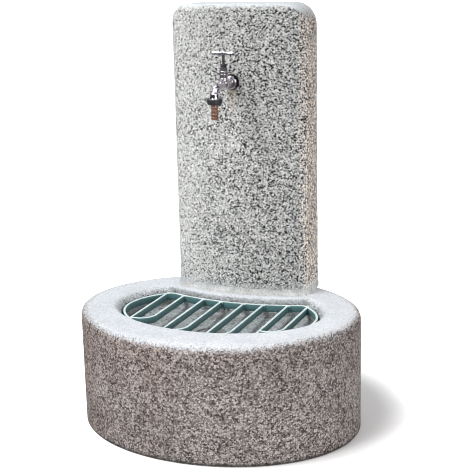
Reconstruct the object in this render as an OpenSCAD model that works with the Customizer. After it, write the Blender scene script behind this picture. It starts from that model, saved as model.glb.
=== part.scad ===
// Garden drinking fountain: an oval basin and a column of washed aggregate concrete,
// a lift-out flat bar grate, a bib tap with a hose tail, and the pipework behind and below.
// +Z is up, the front faces -Y, and the origin is on the ground under the middle of the footprint.

/* [Basin] */
// Width across the oval
basin_w = 600; // [520:10:760]
// Front to back of the whole oval, before its back is cut flat
oval_d = 480; // [430:10:580]
// Depth from the front to the flat back
basin_d = 450; // [420:10:540]
// Height from the ground to the rim
basin_h = 250; // [210:5:320]
// Rounding of the rim's outer edge
rim_round = 10; // [4:1:16]
// Chamfer round the foot
foot_chamfer = 4; // [2:1:8]
// Concrete wall round the hollow underside
wall = 55; // [45:1:70]
// Concrete left between the bowl and the hollow underside
slab = 45; // [35:1:55]

/* [Bowl] */
// Flat rim at each side of the opening
rim_side = 71; // [60:1:85]
// Flat rim in front of the opening
rim_front = 79; // [65:1:90]
// How far the lip slopes in before the wall turns upright
lip_in = 14; // [8:1:18]
// How far the grate's top lies below the rim
grate_drop = 13; // [8:1:18]
// Depth of the bowl's floor at the back
bowl_depth = 40; // [36:1:50]
// How much lower the floor lies at the front
floor_fall = 10; // [4:1:14]
// Deck between the column's face and the bowl
deck_strip = 21; // [18:1:30]

/* [Column] */
// Overall height of the fountain
total_h = 866; // [720:2:1040]
// Width of the column
column_w = 302; // [260:2:340]
// Depth of the column at its middle
column_d = 110; // [105:1:135]
// Radius of the bowed front face
face_r = 425; // [360:5:520]
// Radius of the upright corners
column_corner = 27; // [18:1:32]
// Radius of the two top corners, seen from the front
shoulder_r = 46; // [30:1:60]
// Thickness of the mortar under the column
mortar_t = 8; // [5:1:12]
// How far the mortar shows round the column's foot
mortar_lip = 8; // [4:1:12]
// Diameter of the steel dowels
dowel_d = 16; // [10:1:20]
// Length of the steel dowels
dowel_l = 120; // [90:5:140]
// Distance between the two dowels
dowel_span = 190; // [150:5:210]

/* [Rear channel] */
// Width of the pipe channel
channel_w = 60; // [56:1:80]
// Depth of the pipe channel
channel_d = 50; // [46:1:52]
// Concrete left above the channel
channel_cover = 90; // [60:5:120]
// Height of the arch from the channel into the hollow underside
notch_h = 90; // [80:1:110]

/* [Grate] */
// Thickness of the flat bar
bar_t = 5; // [4:0.5:6]
// Depth of the flat bar
bar_d = 15; // [12:1:18]
// Number of hairpin bars
hairpins = 4; // [4]
// Distance between neighbouring hairpins
hairpin_pitch = 95; // [84:1:98]
// Distance between the two legs of a hairpin
leg_gap = 43; // [38:1:46]
// Radius of the bend in the right leg
bend_r = 30; // [20:1:34]
// Play between the band and the bowl's wall
grate_play = 3; // [2:0.5:5]

/* [Tap] */
// How far the tap's inlet lies below the column's top
tap_below_top = 159; // [120:1:200]
// How far the spindle stands in front of the column
spindle_out = 44; // [42:1:52]
// How far the outlet stands in front of the column
outlet_out = 95; // [88:1:105]
// Diameter of the water ways
bore_d = 11; // [9:0.5:12]
// Diameter of the inlet thread
inlet_d = 20.955; // [20.955]
// Diameter of the tap's horizontal barrel
barrel_d = 18; // [17:0.5:20]
// Diameter of the valve chamber's neck
neck_d = 17.5; // [17:0.5:20]
// Diameter of the wall rosette
rosette_d = 33; // [30:1:40]
// Depth of the wall rosette
rosette_t = 12; // [8:1:16]
// Spindle diameter through the packing
spindle_d = 6; // [5:0.5:7]
// Diameter of the spindle's threaded part
spindle_thread_d = 8; // [8:0.5:9]
// Lift of the valve from shut to open
valve_lift = 3; // [2:0.5:4]
// Length of the handle's bar
handle_l = 50; // [40:1:70]
// Diameter of the handle's bar
handle_d = 7; // [6:0.5:9]
// Height of the handle's bar above the inlet
handle_h = 63.5; // [60:0.5:72]

/* [Hose union] */
// Diameter of the union's thread
union_d = 26.4; // [26.4]
// Outer diameter of the union nut
nut_d = 32; // [30:0.5:36]
// Height of the union nut
nut_h = 12; // [11:0.5:16]
// How far below the inlet the nut's top lies
nut_drop = 22.5; // [20:0.5:25.5]
// Diameter over the hose tail's barbs
tail_d = 16; // [15:0.5:19]
// Bore of the hose tail
tail_bore = 11; // [8:0.5:12]
// Number of barbs
barbs = 4; // [3:1:5]
// Distance between the barbs
barb_pitch = 7.3; // [6:0.1:8]

/* [Drain] */
// How far the drain lies in front of the oval's middle
drain_front = 45; // [30:1:60]
// Diameter of the drain's flange
flange_d = 70; // [62:1:80]
// Outer diameter of the waste pipe
waste_d = 40; // [40]
// Wall of the waste pipe and its fittings
waste_wall = 3; // [2:0.5:4]
// Height of the waste pipe's middle above the ground
waste_h = 45; // [40:1:60]
// Diameter of the strainer
strainer_d = 46; // [40:1:48]

/* [Supply] */
// Outer diameter of the copper supply pipe
pipe_d = 15; // [12:1:18]
// Wall of the supply pipe
pipe_wall = 1; // [0.8:0.1:1.5]
// How far the pipe's middle stands off the channel's floor
pipe_off = 20; // [18:1:24]
// Height of the water inlet above the ground
inlet_h = 115; // [105:1:160]
// Number of pipe clips
clips = 3; // [2:1:4]

/* [Clearances] */
// Radial clearance of a part that turns or slides in a bore
running = 0.05; // [0.02:0.01:0.1]
// Gap between faces that move past each other
face_gap = 0.3; // [0.2:0.1:0.6]
// Radial clearance round a pipe or dowel set in concrete
set_gap = 1; // [0.5:0.5:2]

/* [Hidden] */
$fn = 96;
eps = 0.01;
over = 20; // how far a cutting shape runs past what it cuts
oval_n = 120; // corners of an oval
slice = 0.5; // thickness of the slices that a rounded edge is built from

// Ground plan
back_y = basin_d / 2;
front_y = -basin_d / 2;
oval_y = front_y + oval_d / 2;
face_y = back_y - column_d;
arc_y = face_y + face_r; // middle of the bowed face's circle
channel_y = back_y - channel_d;

// Bowl levels and ovals
grate_top = basin_h - grate_drop;
ledge_z = grate_top - bar_d;
floor_z = basin_h - bowl_depth;
opening_a = basin_w / 2 - rim_side;
opening_b = oval_d / 2 - rim_front;
recess_a = opening_a - lip_in;
recess_b = opening_b * recess_a / opening_a;
band_a = recess_a - grate_play;
band_b = recess_b - grate_play;
inner_a = band_a - bar_t;
inner_b = band_b - bar_t;
recess_back_r = face_r + deck_strip;
band_back_r = recess_back_r + grate_play;
inner_back_r = band_back_r + bar_t;
bowl_back_y = arc_y - recess_back_r;
floor_tilt = atan(floor_fall / (opening_b + bowl_back_y - oval_y));
cavity_top = floor_z - floor_fall - slab;

// Column
column_foot = basin_h + mortar_t;
dowel_y = channel_y - dowel_d / 2;
channel_top = total_h - channel_cover;
tap_h = total_h - tap_below_top; // height of the tap's inlet

// Drain
drain_y = oval_y - drain_front;
flange_t = 3;
gasket_t = 2;
flange_top = floor_z - (bowl_back_y - drain_y + flange_d / 2) * tan(floor_tilt);
flange_seat = flange_top - flange_t - gasket_t;
strainer_seat = 1.5; // how deep the strainer sits in the flange
strainer_rise = 4; // crown of the strainer
locknut_h = 10;
locknut_z = cavity_top - gasket_t - locknut_h;
elbow_od = waste_d + 2 * waste_wall;
socket_od = elbow_od + 4;
socket_l = 26;
outlet_l = 30; // depth of the drain pipe's own socket
elbow_bend = 32;
elbow_top = locknut_z - 4;

// Supply pipe
pipe_y = channel_y + pipe_off;
fitting_d = 24;
nut_af = 24;
comp_nut_h = 12;
elbow_drop = 26; // from the tap's inlet down to the elbow's mouth
pipe_top = tap_h - elbow_drop + 14;
pipe_seat = 12; // how far above the inlet's axis the pipe stands in its fitting
pipe_bottom = inlet_h + pipe_seat;
plate_w = 50;
plate_t = 3;
clip_x = 14; // from the pipe's middle to its clip's screw
plate_screw = 20; // from the elbow's middle to its plate's screws
screw_d = 5;
screw_l = 26;
clip_low = column_foot + 6; // lowest height for a clip's screw
clip_z = [for (i = [1:clips]) max(clip_low, inlet_h + (tap_h - inlet_h) * i / (clips + 1))];

// Tap levels, measured from the inlet's axis
seat_up = 8;
washer_t = 3;
disc_t = 2;
chamber_d = 14;
neck_up = 22;
bonnet_gasket_t = 1;
collar_t = 4;
bonnet_hex_h = 8;
gland_h = 7;
collar_up = neck_up + bonnet_gasket_t;
hex_up = collar_up + collar_t;
gland_up = hex_up + bonnet_hex_h;
disc_up = seat_up + washer_t;
spindle_up = disc_up + disc_t + face_gap;
bonnet_up = disc_up + disc_t + valve_lift + 0.5;
thread_top = gland_up - 1 - valve_lift;
stem_d = 4.5;
stem_l = 7;
boss_d = 9.5;
boss_h = 9;
extension_d = 26;
shank_l = 14;

// Hose union levels
lip_t = 2;
washer_h = 2;
tail_flange_t = 2;
nut_bottom = nut_drop + nut_h;
thread_end = nut_bottom - lip_t - tail_flange_t - washer_h;
tail_end = nut_bottom + 1.5 + barbs * barb_pitch;
spout_d = 16;
spout_bend = 20;
way_d = 8;
throat_d = way_d + 3;

// ---------- helpers ----------

// Points on an arc
function arc(cx, cy, r, a0, a1, n) =
    [for (i = [0:n]) let (a = a0 + (a1 - a0) * i / n) [cx + r * cos(a), cy + r * sin(a)]];

// Plan of the column grown outwards by g, flat at the back
function column_plan(g) =
    let (w = column_w / 2,
        cx = w - column_corner,
        cy = arc_y - sqrt(pow(face_r - column_corner, 2) - cx * cx),
        t = atan2(cx, arc_y - cy))
    concat([[-w - g, back_y]],
        arc(-cx, cy, column_corner + g, 180, 270 - t, 8),
        arc(0, arc_y, face_r + g, 270 - t, 270 + t, 24),
        arc(cx, cy, column_corner + g, 270 + t, 360, 8),
        [[w + g, back_y]]);

// Inner face of the grate's band at x, in front
function band_front(x) = oval_y - inner_b * sqrt(1 - pow(x / inner_a, 2));

module tube(od, id, h) {
    difference() {
        cylinder(d = od, h = h);
        translate([0, 0, -over]) cylinder(d = id, h = h + 2 * over);
    }
}

// Points of an oval on the basin's middle
function oval_points(a, b) = [for (i = [0:oval_n - 1]) let (t = 360 * i / oval_n) [a * cos(t), oval_y + b * sin(t)]];

// An upright oval prism on the basin's middle
module oval(a, b, h) {
    linear_extrude(h) polygon(oval_points(a, b));
}

// An upright cylinder round the middle of the bowed face's circle
module behind(r, h) {
    translate([0, arc_y, 0]) cylinder(r = r, h = h, $fn = 180);
}

// What lies inside the band: the grate's bars fill this
module inside_band(h) {
    difference() {
        oval(inner_a, inner_b, h);
        translate([0, 0, -over]) behind(inner_back_r, h + 2 * over);
    }
}

// Turns +Z to -Y, on the tap's inlet axis at the column's face
module from_face(out = 0) {
    translate([0, face_y - out, tap_h]) rotate([90, 0, 0]) children();
}

// Places a shape on the spindle's axis, up above the inlet
module on_spindle(up = 0) {
    translate([0, face_y - spindle_out, tap_h + up]) children();
}

// Places a shape on the outlet's axis, down below the inlet
module on_outlet(down = 0) {
    translate([0, face_y - outlet_out, tap_h - down]) children();
}

module on_drain(z) {
    translate([0, drain_y, z]) children();
}

// A quarter bend round the origin, from straight down at y = -r to level at z = r
module quarter_bend(d, r) {
    rotate([0, -90, 0]) rotate([0, 0, -90]) rotate_extrude(angle = 90) translate([r, 0]) circle(d = d);
}

// ---------- concrete ----------

// The outer form: an oval with a chamfered foot and a rounded rim, cut flat at the back
module basin_solid() {
    a = basin_w / 2;
    b = oval_d / 2;
    intersection() {
        hull() {
            oval(a - foot_chamfer, b - foot_chamfer, slice);
            translate([0, 0, foot_chamfer]) oval(a, b, basin_h - rim_round - foot_chamfer);
            for (t = [30:30:90])
                translate([0, 0, basin_h - rim_round * (1 - sin(t)) - slice])
                    oval(a - rim_round * (1 - cos(t)), b - rim_round * (1 - cos(t)), slice);
        }
        translate([-a - over, front_y - over, -over])
            cube([basin_w + 2 * over, basin_d + over, basin_h + 2 * over]);
    }
}

// The recess that holds the grate, with its sloping lip
module grate_recess() {
    difference() {
        union() {
            translate([0, 0, ledge_z]) oval(recess_a, recess_b, basin_h - ledge_z + over);
            hull() {
                translate([0, 0, grate_top - slice]) oval(recess_a, recess_b, slice);
                translate([0, 0, basin_h]) oval(opening_a, opening_b, over);
            }
        }
        translate([0, 0, -over]) behind(recess_back_r, basin_h + 4 * over);
    }
}

// The shallow pan under the grate, its floor falling to the front
module pan() {
    intersection() {
        translate([0, 0, cavity_top]) inside_band(basin_h);
        translate([0, bowl_back_y, floor_z]) rotate([floor_tilt, 0, 0])
            translate([-basin_w / 2, -basin_d, 0]) cube([basin_w, basin_d + over, basin_h]);
    }
}

module cavity() {
    intersection() {
        translate([0, 0, -over]) oval(basin_w / 2 - wall, oval_d / 2 - wall, cavity_top + over);
        translate([-basin_w / 2, front_y, -over])
            cube([basin_w, basin_d - wall, basin_h]);
    }
}

module channel(z0, z1) {
    translate([-channel_w / 2, channel_y, z0]) cube([channel_w, channel_d + over, z1 - z0]);
}

module dowels(d, extra) {
    for (side = [-1, 1])
        translate([side * dowel_span / 2, dowel_y, column_foot - mortar_t / 2 - dowel_l / 2 - extra])
            cylinder(d = d, h = dowel_l + 2 * extra);
}

module basin() {
    color([0.62, 0.59, 0.58]) difference() {
        basin_solid();
        grate_recess();
        pan();
        cavity();
        channel(-over, basin_h + over);
        translate([-channel_w / 2, channel_y - wall, -over]) cube([channel_w, wall + over, notch_h + over]);
        on_drain(flange_seat) cylinder(d = flange_d + 2 * set_gap, h = over);
        on_drain(0) cylinder(d = waste_d + 2 * set_gap, h = basin_h);
        dowels(dowel_d + 2 * set_gap, set_gap);
    }
}

module mortar_bed() {
    color([0.86, 0.86, 0.84]) difference() {
        translate([0, 0, basin_h]) linear_extrude(mortar_t) polygon(column_plan(mortar_lip));
        channel(0, total_h);
        dowels(dowel_d + 2 * set_gap, set_gap);
    }
}

module column() {
    w = column_w / 2;
    color([0.70, 0.70, 0.69]) difference() {
        intersection() {
            translate([0, 0, column_foot]) linear_extrude(total_h) polygon(column_plan(0));
            translate([0, back_y + over, 0]) rotate([90, 0, 0]) linear_extrude(column_d * 2 + over)
                polygon(concat([[-w - over, 0], [w + over, 0], [w + over, total_h - shoulder_r - over],
                        [w, total_h - shoulder_r]],
                    arc(w - shoulder_r, total_h - shoulder_r, shoulder_r, 0, 90, 10),
                    arc(-w + shoulder_r, total_h - shoulder_r, shoulder_r, 90, 180, 10),
                    [[-w - over, total_h - shoulder_r - over]]));
        }
        channel(0, channel_top);
        from_face(-channel_d - column_d) cylinder(d = extension_d + 2 * set_gap, h = column_d * 3);
        for (z = clip_z) fixing_hole(clip_x, z);
        for (side = [-1, 1]) fixing_hole(0, tap_h + side * plate_screw);
        dowels(dowel_d + 2 * set_gap, set_gap);
    }
}

module column_dowels() {
    color([0.45, 0.42, 0.40]) dowels(dowel_d, 0);
}

// ---------- grate ----------

module grate_band() {
    color([0.36, 0.55, 0.56]) translate([0, 0, ledge_z]) difference() {
        oval(band_a, band_b, bar_d);
        translate([0, 0, -over]) behind(band_back_r, bar_d + 2 * over);
        translate([0, 0, -over]) inside_band(bar_d + 2 * over);
    }
}

// One hairpin: the left leg runs straight to the band, the right leg bends across to it
module grate_hairpin(i) {
    left = (i - (hairpins - 1) / 2) * hairpin_pitch - leg_gap / 2;
    right = left + leg_gap;
    turn_y = band_front(max(abs(left), abs(right))) + bar_t / 2;
    h = bar_t / 2;
    color([0.36, 0.55, 0.56]) intersection() {
        translate([0, 0, ledge_z]) linear_extrude(bar_d) polygon(concat(
            [[left - h, back_y], [left - h, front_y], [left + h, front_y], [left + h, turn_y - h]],
            arc(right - bend_r, turn_y + bend_r, bend_r + h, 270, 360, 10),
            [[right + h, back_y], [right - h, back_y]],
            arc(right - bend_r, turn_y + bend_r, bend_r - h, 360, 270, 10),
            [[left + h, turn_y + h], [left + h, back_y]]));
        translate([0, 0, ledge_z - over]) inside_band(bar_d + 2 * over);
    }
}

// ---------- drain ----------

module drain_strainer() {
    holes = [[0, 1], [8, 6], [16, 12]]; // ring radius and number of holes
    color([0.75, 0.75, 0.76]) on_drain(flange_top - strainer_seat) difference() {
        cylinder(d = strainer_d, h = strainer_seat);
        for (ring = holes, k = [1:ring[1]])
            rotate(360 * k / ring[1]) translate([ring[0], 0, -over]) cylinder(d = 4, h = 2 * over, $fn = 24);
    }
}

module drain_body() {
    color([0.72, 0.72, 0.73]) on_drain(0) difference() {
        union() {
            translate([0, 0, flange_top - flange_t]) cylinder(d = flange_d, h = flange_t);
            translate([0, 0, locknut_z - 14]) cylinder(d = waste_d, h = flange_top - locknut_z + 14 - eps);
        }
        cylinder(d = waste_d - 2 * waste_wall, h = basin_h);
        translate([0, 0, flange_top - strainer_seat]) cylinder(d = strainer_d + 4 * running, h = over);
    }
}

module drain_gasket() {
    color([0.10, 0.10, 0.10]) on_drain(flange_seat) tube(flange_d, waste_d, gasket_t);
}

module drain_washer() {
    color([0.10, 0.10, 0.10]) on_drain(cavity_top - gasket_t) tube(waste_d + 18, waste_d, gasket_t);
}

module drain_locknut() {
    color([0.75, 0.68, 0.45]) on_drain(locknut_z) difference() {
        cylinder(d = waste_d + 20, h = locknut_h, $fn = 6);
        translate([0, 0, -over]) cylinder(d = waste_d, h = locknut_h + 2 * over);
    }
}

module elbow_curve(d) {
    translate([0, elbow_bend, waste_h + elbow_bend]) mirror([0, 0, 1]) quarter_bend(d, elbow_bend);
}

module drain_elbow() {
    turn_z = waste_h + elbow_bend;
    into = 2; // how far a socket runs over the end of the bend
    color([0.42, 0.42, 0.44]) on_drain(0) difference() {
        union() {
            elbow_curve(elbow_od);
            translate([0, 0, turn_z - into]) cylinder(d = socket_od, h = elbow_top - turn_z + into);
            translate([0, elbow_bend - into, waste_h]) rotate([-90, 0, 0])
                cylinder(d = socket_od, h = socket_l + into);
        }
        elbow_curve(waste_d - 2 * waste_wall);
        translate([0, 0, turn_z - into / 2]) cylinder(d = waste_d, h = elbow_top);
        translate([0, elbow_bend - into / 2, waste_h]) rotate([-90, 0, 0])
            cylinder(d = waste_d, h = socket_l + over);
    }
}

// A plain pipe that ends in a socket for the next one
module drain_pipe() {
    start = drain_y + elbow_bend - 1;
    length = back_y - 3 - start;
    color([0.45, 0.45, 0.47]) translate([0, start, waste_h]) rotate([-90, 0, 0]) difference() {
        union() {
            cylinder(d = waste_d, h = length);
            translate([0, 0, length - outlet_l - waste_wall]) cylinder(d = socket_od, h = outlet_l + waste_wall);
        }
        translate([0, 0, -over]) cylinder(d = waste_d - 2 * waste_wall, h = length + 2 * over);
        translate([0, 0, length - outlet_l]) cylinder(d = waste_d + 2 * face_gap, h = outlet_l + over);
    }
}

// ---------- supply ----------

module fixing_hole(x, z) {
    translate([x, channel_y + over, z]) rotate([90, 0, 0]) cylinder(d = screw_d, h = screw_l + over);
}

module screw(x, z, base) {
    translate([x, base, z]) rotate([90, 0, 0]) {
        cylinder(d = screw_d, h = screw_l);
        translate([0, 0, -3]) cylinder(d = screw_d * 1.8, h = 3);
    }
}

module fixing_screws() {
    color([0.70, 0.70, 0.72]) {
        for (z = clip_z) screw(clip_x, z, channel_y + 2);
        for (side = [-1, 1]) screw(0, tap_h + side * plate_screw, channel_y + plate_t);
    }
}

// A saddle with one foot, holding the pipe off the channel's floor
module pipe_clips() {
    color([0.30, 0.30, 0.32]) for (z = clip_z) translate([0, 0, z - 7]) difference() {
        union() {
            translate([0, pipe_y, 0]) cylinder(d = pipe_d + 5, h = 14);
            translate([-5, channel_y, 0]) cube([10, pipe_off, 14]);
            translate([-5, channel_y, 0]) cube([clip_x + 11, 2, 14]);
        }
        translate([0, pipe_y, -over]) cylinder(d = pipe_d, h = 14 + 2 * over);
        translate([clip_x, channel_y - over, 7]) rotate([-90, 0, 0]) cylinder(d = screw_d, h = 3 * over);
    }
}

module supply_pipe() {
    color([0.72, 0.45, 0.33]) translate([0, pipe_y, pipe_bottom])
        tube(pipe_d, pipe_d - 2 * pipe_wall, pipe_top - pipe_bottom);
}

module inlet_fitting() {
    reach = back_y - 2 - pipe_y;
    color([0.80, 0.66, 0.38]) translate([0, pipe_y, inlet_h]) difference() {
        union() {
            cylinder(d = fitting_d, h = pipe_seat + 10);
            sphere(d = fitting_d);
            rotate([-90, 0, 0]) cylinder(d = fitting_d, h = reach - shank_l);
            rotate([-90, 0, 0]) cylinder(d = inlet_d, h = reach);
        }
        translate([0, 0, pipe_seat]) cylinder(d = pipe_d, h = over);
        cylinder(d = bore_d, h = pipe_seat + over);
        rotate([-90, 0, 0]) cylinder(d = bore_d, h = reach + over);
    }
}

module comp_nut(z) {
    translate([0, pipe_y, z]) difference() {
        cylinder(d = nut_af, h = comp_nut_h, $fn = 6);
        translate([0, 0, -over]) cylinder(d = pipe_d, h = comp_nut_h + 2 * over);
    }
}

module compression_nuts() {
    color([0.80, 0.66, 0.38]) {
        comp_nut(inlet_h + pipe_seat + 10);
        comp_nut(tap_h - elbow_drop - comp_nut_h);
    }
}

module wall_elbow() {
    color([0.80, 0.66, 0.38]) difference() {
        union() {
            translate([0, pipe_y, tap_h - elbow_drop]) cylinder(d = fitting_d, h = elbow_drop);
            translate([0, pipe_y, tap_h]) sphere(d = fitting_d);
            translate([0, pipe_y, tap_h]) rotate([90, 0, 0]) cylinder(d = fitting_d, h = pipe_off);
            translate([-plate_w / 2 + 10, channel_y, tap_h - plate_w / 2])
                cube([plate_w - 20, plate_t, plate_w]);
        }
        translate([0, pipe_y, 0]) cylinder(d = pipe_d, h = pipe_top);
        translate([0, pipe_y, tap_h - elbow_drop]) cylinder(d = bore_d, h = elbow_drop);
        translate([0, pipe_y, tap_h]) rotate([90, 0, 0]) cylinder(d = bore_d, h = 60);
        translate([0, channel_y + shank_l - 2, tap_h]) rotate([90, 0, 0]) cylinder(d = inlet_d, h = 60);
        for (side = [-1, 1]) translate([0, channel_y - over, tap_h + side * plate_screw])
            rotate([-90, 0, 0]) cylinder(d = screw_d, h = 2 * over);
    }
}

module tap_extension() {
    body_l = channel_y - face_y - 1;
    color([0.80, 0.66, 0.38]) from_face(-1) rotate([0, 180, 0]) difference() {
        union() {
            cylinder(d = extension_d, h = body_l);
            cylinder(d = inlet_d, h = body_l + shank_l - 3);
        }
        translate([0, 0, -over]) cylinder(d = bore_d, h = 200);
        translate([0, 0, -over]) cylinder(d = inlet_d, h = shank_l + over);
    }
}

// ---------- tap ----------

module wall_rosette() {
    r = rosette_d / 2;
    inner = barrel_d / 2 + running;
    color([0.78, 0.78, 0.80]) from_face() rotate_extrude()
        polygon(concat([[inner, 0], [r, 0], [r, 1.5]],
            [for (a = [15:15:75]) [r - (r - inner - 1.5) * (1 - cos(a)), 1.5 + (rosette_t - 1.5) * sin(a)]],
            [[inner + 1.5, rosette_t], [inner, rosette_t]]));
}

module tap_body() {
    chamber_top = neck_up;
    color([0.78, 0.78, 0.80]) difference() {
        union() {
            from_face(-shank_l) cylinder(d = inlet_d, h = shank_l - 1);
            from_face(-1) cylinder(d = barrel_d, h = spindle_out + 1);
            on_spindle() sphere(d = 23);
            on_spindle(-2) cylinder(d = neck_d + 3, h = 14);
            on_spindle() cylinder(d = neck_d, h = chamber_top);
            from_face(spindle_out) cylinder(d = spout_d, h = outlet_out - spindle_out - spout_bend);
            spout_curve(spout_d);
            throat(throat_d, 24);
            on_outlet(nut_drop) cylinder(d1 = union_d - 1, d2 = spout_d, h = 6);
            on_outlet(thread_end) cylinder(d = union_d, h = thread_end - nut_drop);
        }
        from_face(-over) cylinder(d = bore_d, h = over + spindle_out + bore_d / 2 - 1);
        on_spindle(-2) cylinder(d = bore_d - 1, h = seat_up + 2 + eps);
        on_spindle(seat_up) cylinder(d = chamber_d, h = over);
        throat(way_d, 23);
        from_face(spindle_out + 16)
            cylinder(d = way_d, h = max(eps, outlet_out - spindle_out - spout_bend - 16 + eps));
        spout_curve(way_d);
        on_outlet(thread_end + over) cylinder(d = bore_d - 1, h = over + thread_end - spout_bend);
    }
}

// From the valve chamber down into the spout
module throat(d, l) {
    on_spindle(seat_up + 4) rotate([90 + 32, 0, 0]) cylinder(d = d, h = l);
}

// From the spout's level part down to the outlet
module spout_curve(d) {
    translate([0, face_y - outlet_out + spout_bend, tap_h - spout_bend]) quarter_bend(d, spout_bend);
}

module bonnet_gasket() {
    color([0.75, 0.20, 0.15]) on_spindle(neck_up) tube(neck_d, chamber_d, bonnet_gasket_t);
}

module tap_bonnet() {
    color([0.68, 0.68, 0.70]) on_spindle() difference() {
        union() {
            translate([0, 0, bonnet_up]) cylinder(d = chamber_d, h = collar_up - bonnet_up);
            translate([0, 0, collar_up]) cylinder(d = 18.5, h = collar_t);
            translate([0, 0, hex_up]) cylinder(d = 17, h = bonnet_hex_h, $fn = 6);
            translate([0, 0, gland_up]) cylinder(d = 10.4, h = gland_h - 2);
        }
        translate([0, 0, -over]) cylinder(d = spindle_d + 2 * running, h = 100);
        cylinder(d = spindle_thread_d + 2 * running, h = gland_up - 0.5);
        translate([0, 0, gland_up + 2]) cylinder(d = 9, h = over);
    }
}

module gland_packing() {
    color([0.85, 0.84, 0.78]) on_spindle(gland_up + 2) tube(9, spindle_d + 2 * running, 2.4);
}

module gland_nut() {
    color([0.55, 0.55, 0.57]) on_spindle(gland_up) difference() {
        cylinder(d = 14, h = gland_h, $fn = 6);
        translate([0, 0, -over]) cylinder(d = 10.4, h = over + gland_h - 2);
        cylinder(d = spindle_d + 4 * running, h = over);
    }
    color([0.55, 0.55, 0.57]) on_spindle(gland_up + 4.4) tube(8.8, spindle_d + 4 * running, gland_h - 6.4);
}

module spindle() {
    color([0.60, 0.56, 0.48]) on_spindle() difference() {
        union() {
            translate([0, 0, spindle_up]) cylinder(d = spindle_thread_d, h = thread_top - spindle_up);
            translate([0, 0, spindle_up]) cylinder(d = spindle_d, h = handle_h - spindle_up);
        }
        translate([0, 0, 0]) cylinder(d = stem_d + 2 * running, h = disc_up + disc_t + stem_l + 0.5);
        translate([0, 0, handle_h - 8]) cylinder(d = 3, h = over);
    }
}

module tap_handle() {
    color([0.80, 0.80, 0.83]) on_spindle() difference() {
        union() {
            translate([0, 0, handle_h - boss_h / 2]) cylinder(d = boss_d, h = boss_h);
            translate([-handle_l / 2, 0, handle_h]) rotate([0, 90, 0]) cylinder(d = handle_d, h = handle_l);
        }
        translate([0, 0, handle_h - over]) cylinder(d = spindle_d, h = over);
        cylinder(d = 3, h = 100);
    }
}

module handle_screw() {
    color([0.70, 0.70, 0.72]) on_spindle() {
        translate([0, 0, handle_h - 8]) cylinder(d = 3, h = 8 + boss_h / 2);
        translate([0, 0, handle_h + boss_h / 2]) cylinder(d = 6, h = 1.6);
    }
}

module jumper() {
    color([0.80, 0.66, 0.38]) on_spindle(disc_up) {
        cylinder(d = chamber_d - 1.5, h = disc_t);
        cylinder(d = stem_d, h = disc_t + stem_l);
    }
}

module seat_washer() {
    color([0.12, 0.12, 0.12]) on_spindle(seat_up) cylinder(d = chamber_d - 1.5, h = washer_t);
}

// ---------- hose union ----------

module union_nut() {
    color([0.32, 0.32, 0.33]) on_outlet(nut_bottom) difference() {
        rotate_extrude() polygon([[0, 0], [nut_d / 2 - 1, 0], [nut_d / 2, 1], [nut_d / 2, nut_h - 1],
            [nut_d / 2 - 1, nut_h], [0, nut_h]]);
        translate([0, 0, lip_t]) cylinder(d = union_d, h = over);
        translate([0, 0, -over]) cylinder(d = tail_d + 2, h = 2 * over);
    }
}

module union_washer() {
    color([0.12, 0.12, 0.12]) on_outlet(thread_end + washer_h) tube(union_d - 2, tail_bore, washer_h);
}

module hose_tail() {
    stem = tail_d / 2 - 1.2;
    color([0.80, 0.52, 0.36]) on_outlet(tail_end) difference() {
        union() {
            translate([0, 0, tail_end - nut_bottom + lip_t]) cylinder(d = union_d - 2, h = tail_flange_t);
            cylinder(r = stem, h = tail_end - nut_bottom + lip_t + eps);
            for (k = [0:barbs - 1]) translate([0, 0, k * barb_pitch]) {
                cylinder(r1 = stem, r2 = tail_d / 2, h = barb_pitch * 0.4);
                translate([0, 0, barb_pitch * 0.4]) cylinder(d = tail_d, h = barb_pitch * 0.3);
            }
        }
        translate([0, 0, -over]) cylinder(d = tail_bore, h = 100);
    }
}

basin();
mortar_bed();
column();
column_dowels();
grate_band();
grate_hairpin(0);  // grate_hairpin_1
grate_hairpin(1);  // grate_hairpin_2
grate_hairpin(2);  // grate_hairpin_3
grate_hairpin(3);  // grate_hairpin_4
drain_strainer();
drain_body();
drain_gasket();
drain_washer();
drain_locknut();
drain_elbow();
drain_pipe();
supply_pipe();
pipe_clips();
fixing_screws();
inlet_fitting();
compression_nuts();
wall_elbow();
tap_extension();
wall_rosette();
tap_body();
bonnet_gasket();
tap_bonnet();
gland_packing();
gland_nut();
spindle();
tap_handle();
handle_screw();
jumper();
seat_washer();
union_nut();
union_washer();
hose_tail();
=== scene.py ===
# %% [markdown]
# # A garden drinking fountain
# An oval basin and a bowed column, both cast in washed aggregate concrete, with a lift-out flat bar grate,
# a chromed bib tap and the pipework behind and below. The CAD model fixes every size and every moving
# body. This script builds the looks around it: new meshes where the real surface is softer or richer than
# the CAD solid, and a procedural finish for every piece.
#
# Each step starts with a note like this one, and each code cell prints what it made.

import math
import random

import bmesh
import bpy
import numpy as np
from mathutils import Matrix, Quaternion, Vector, noise


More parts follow.
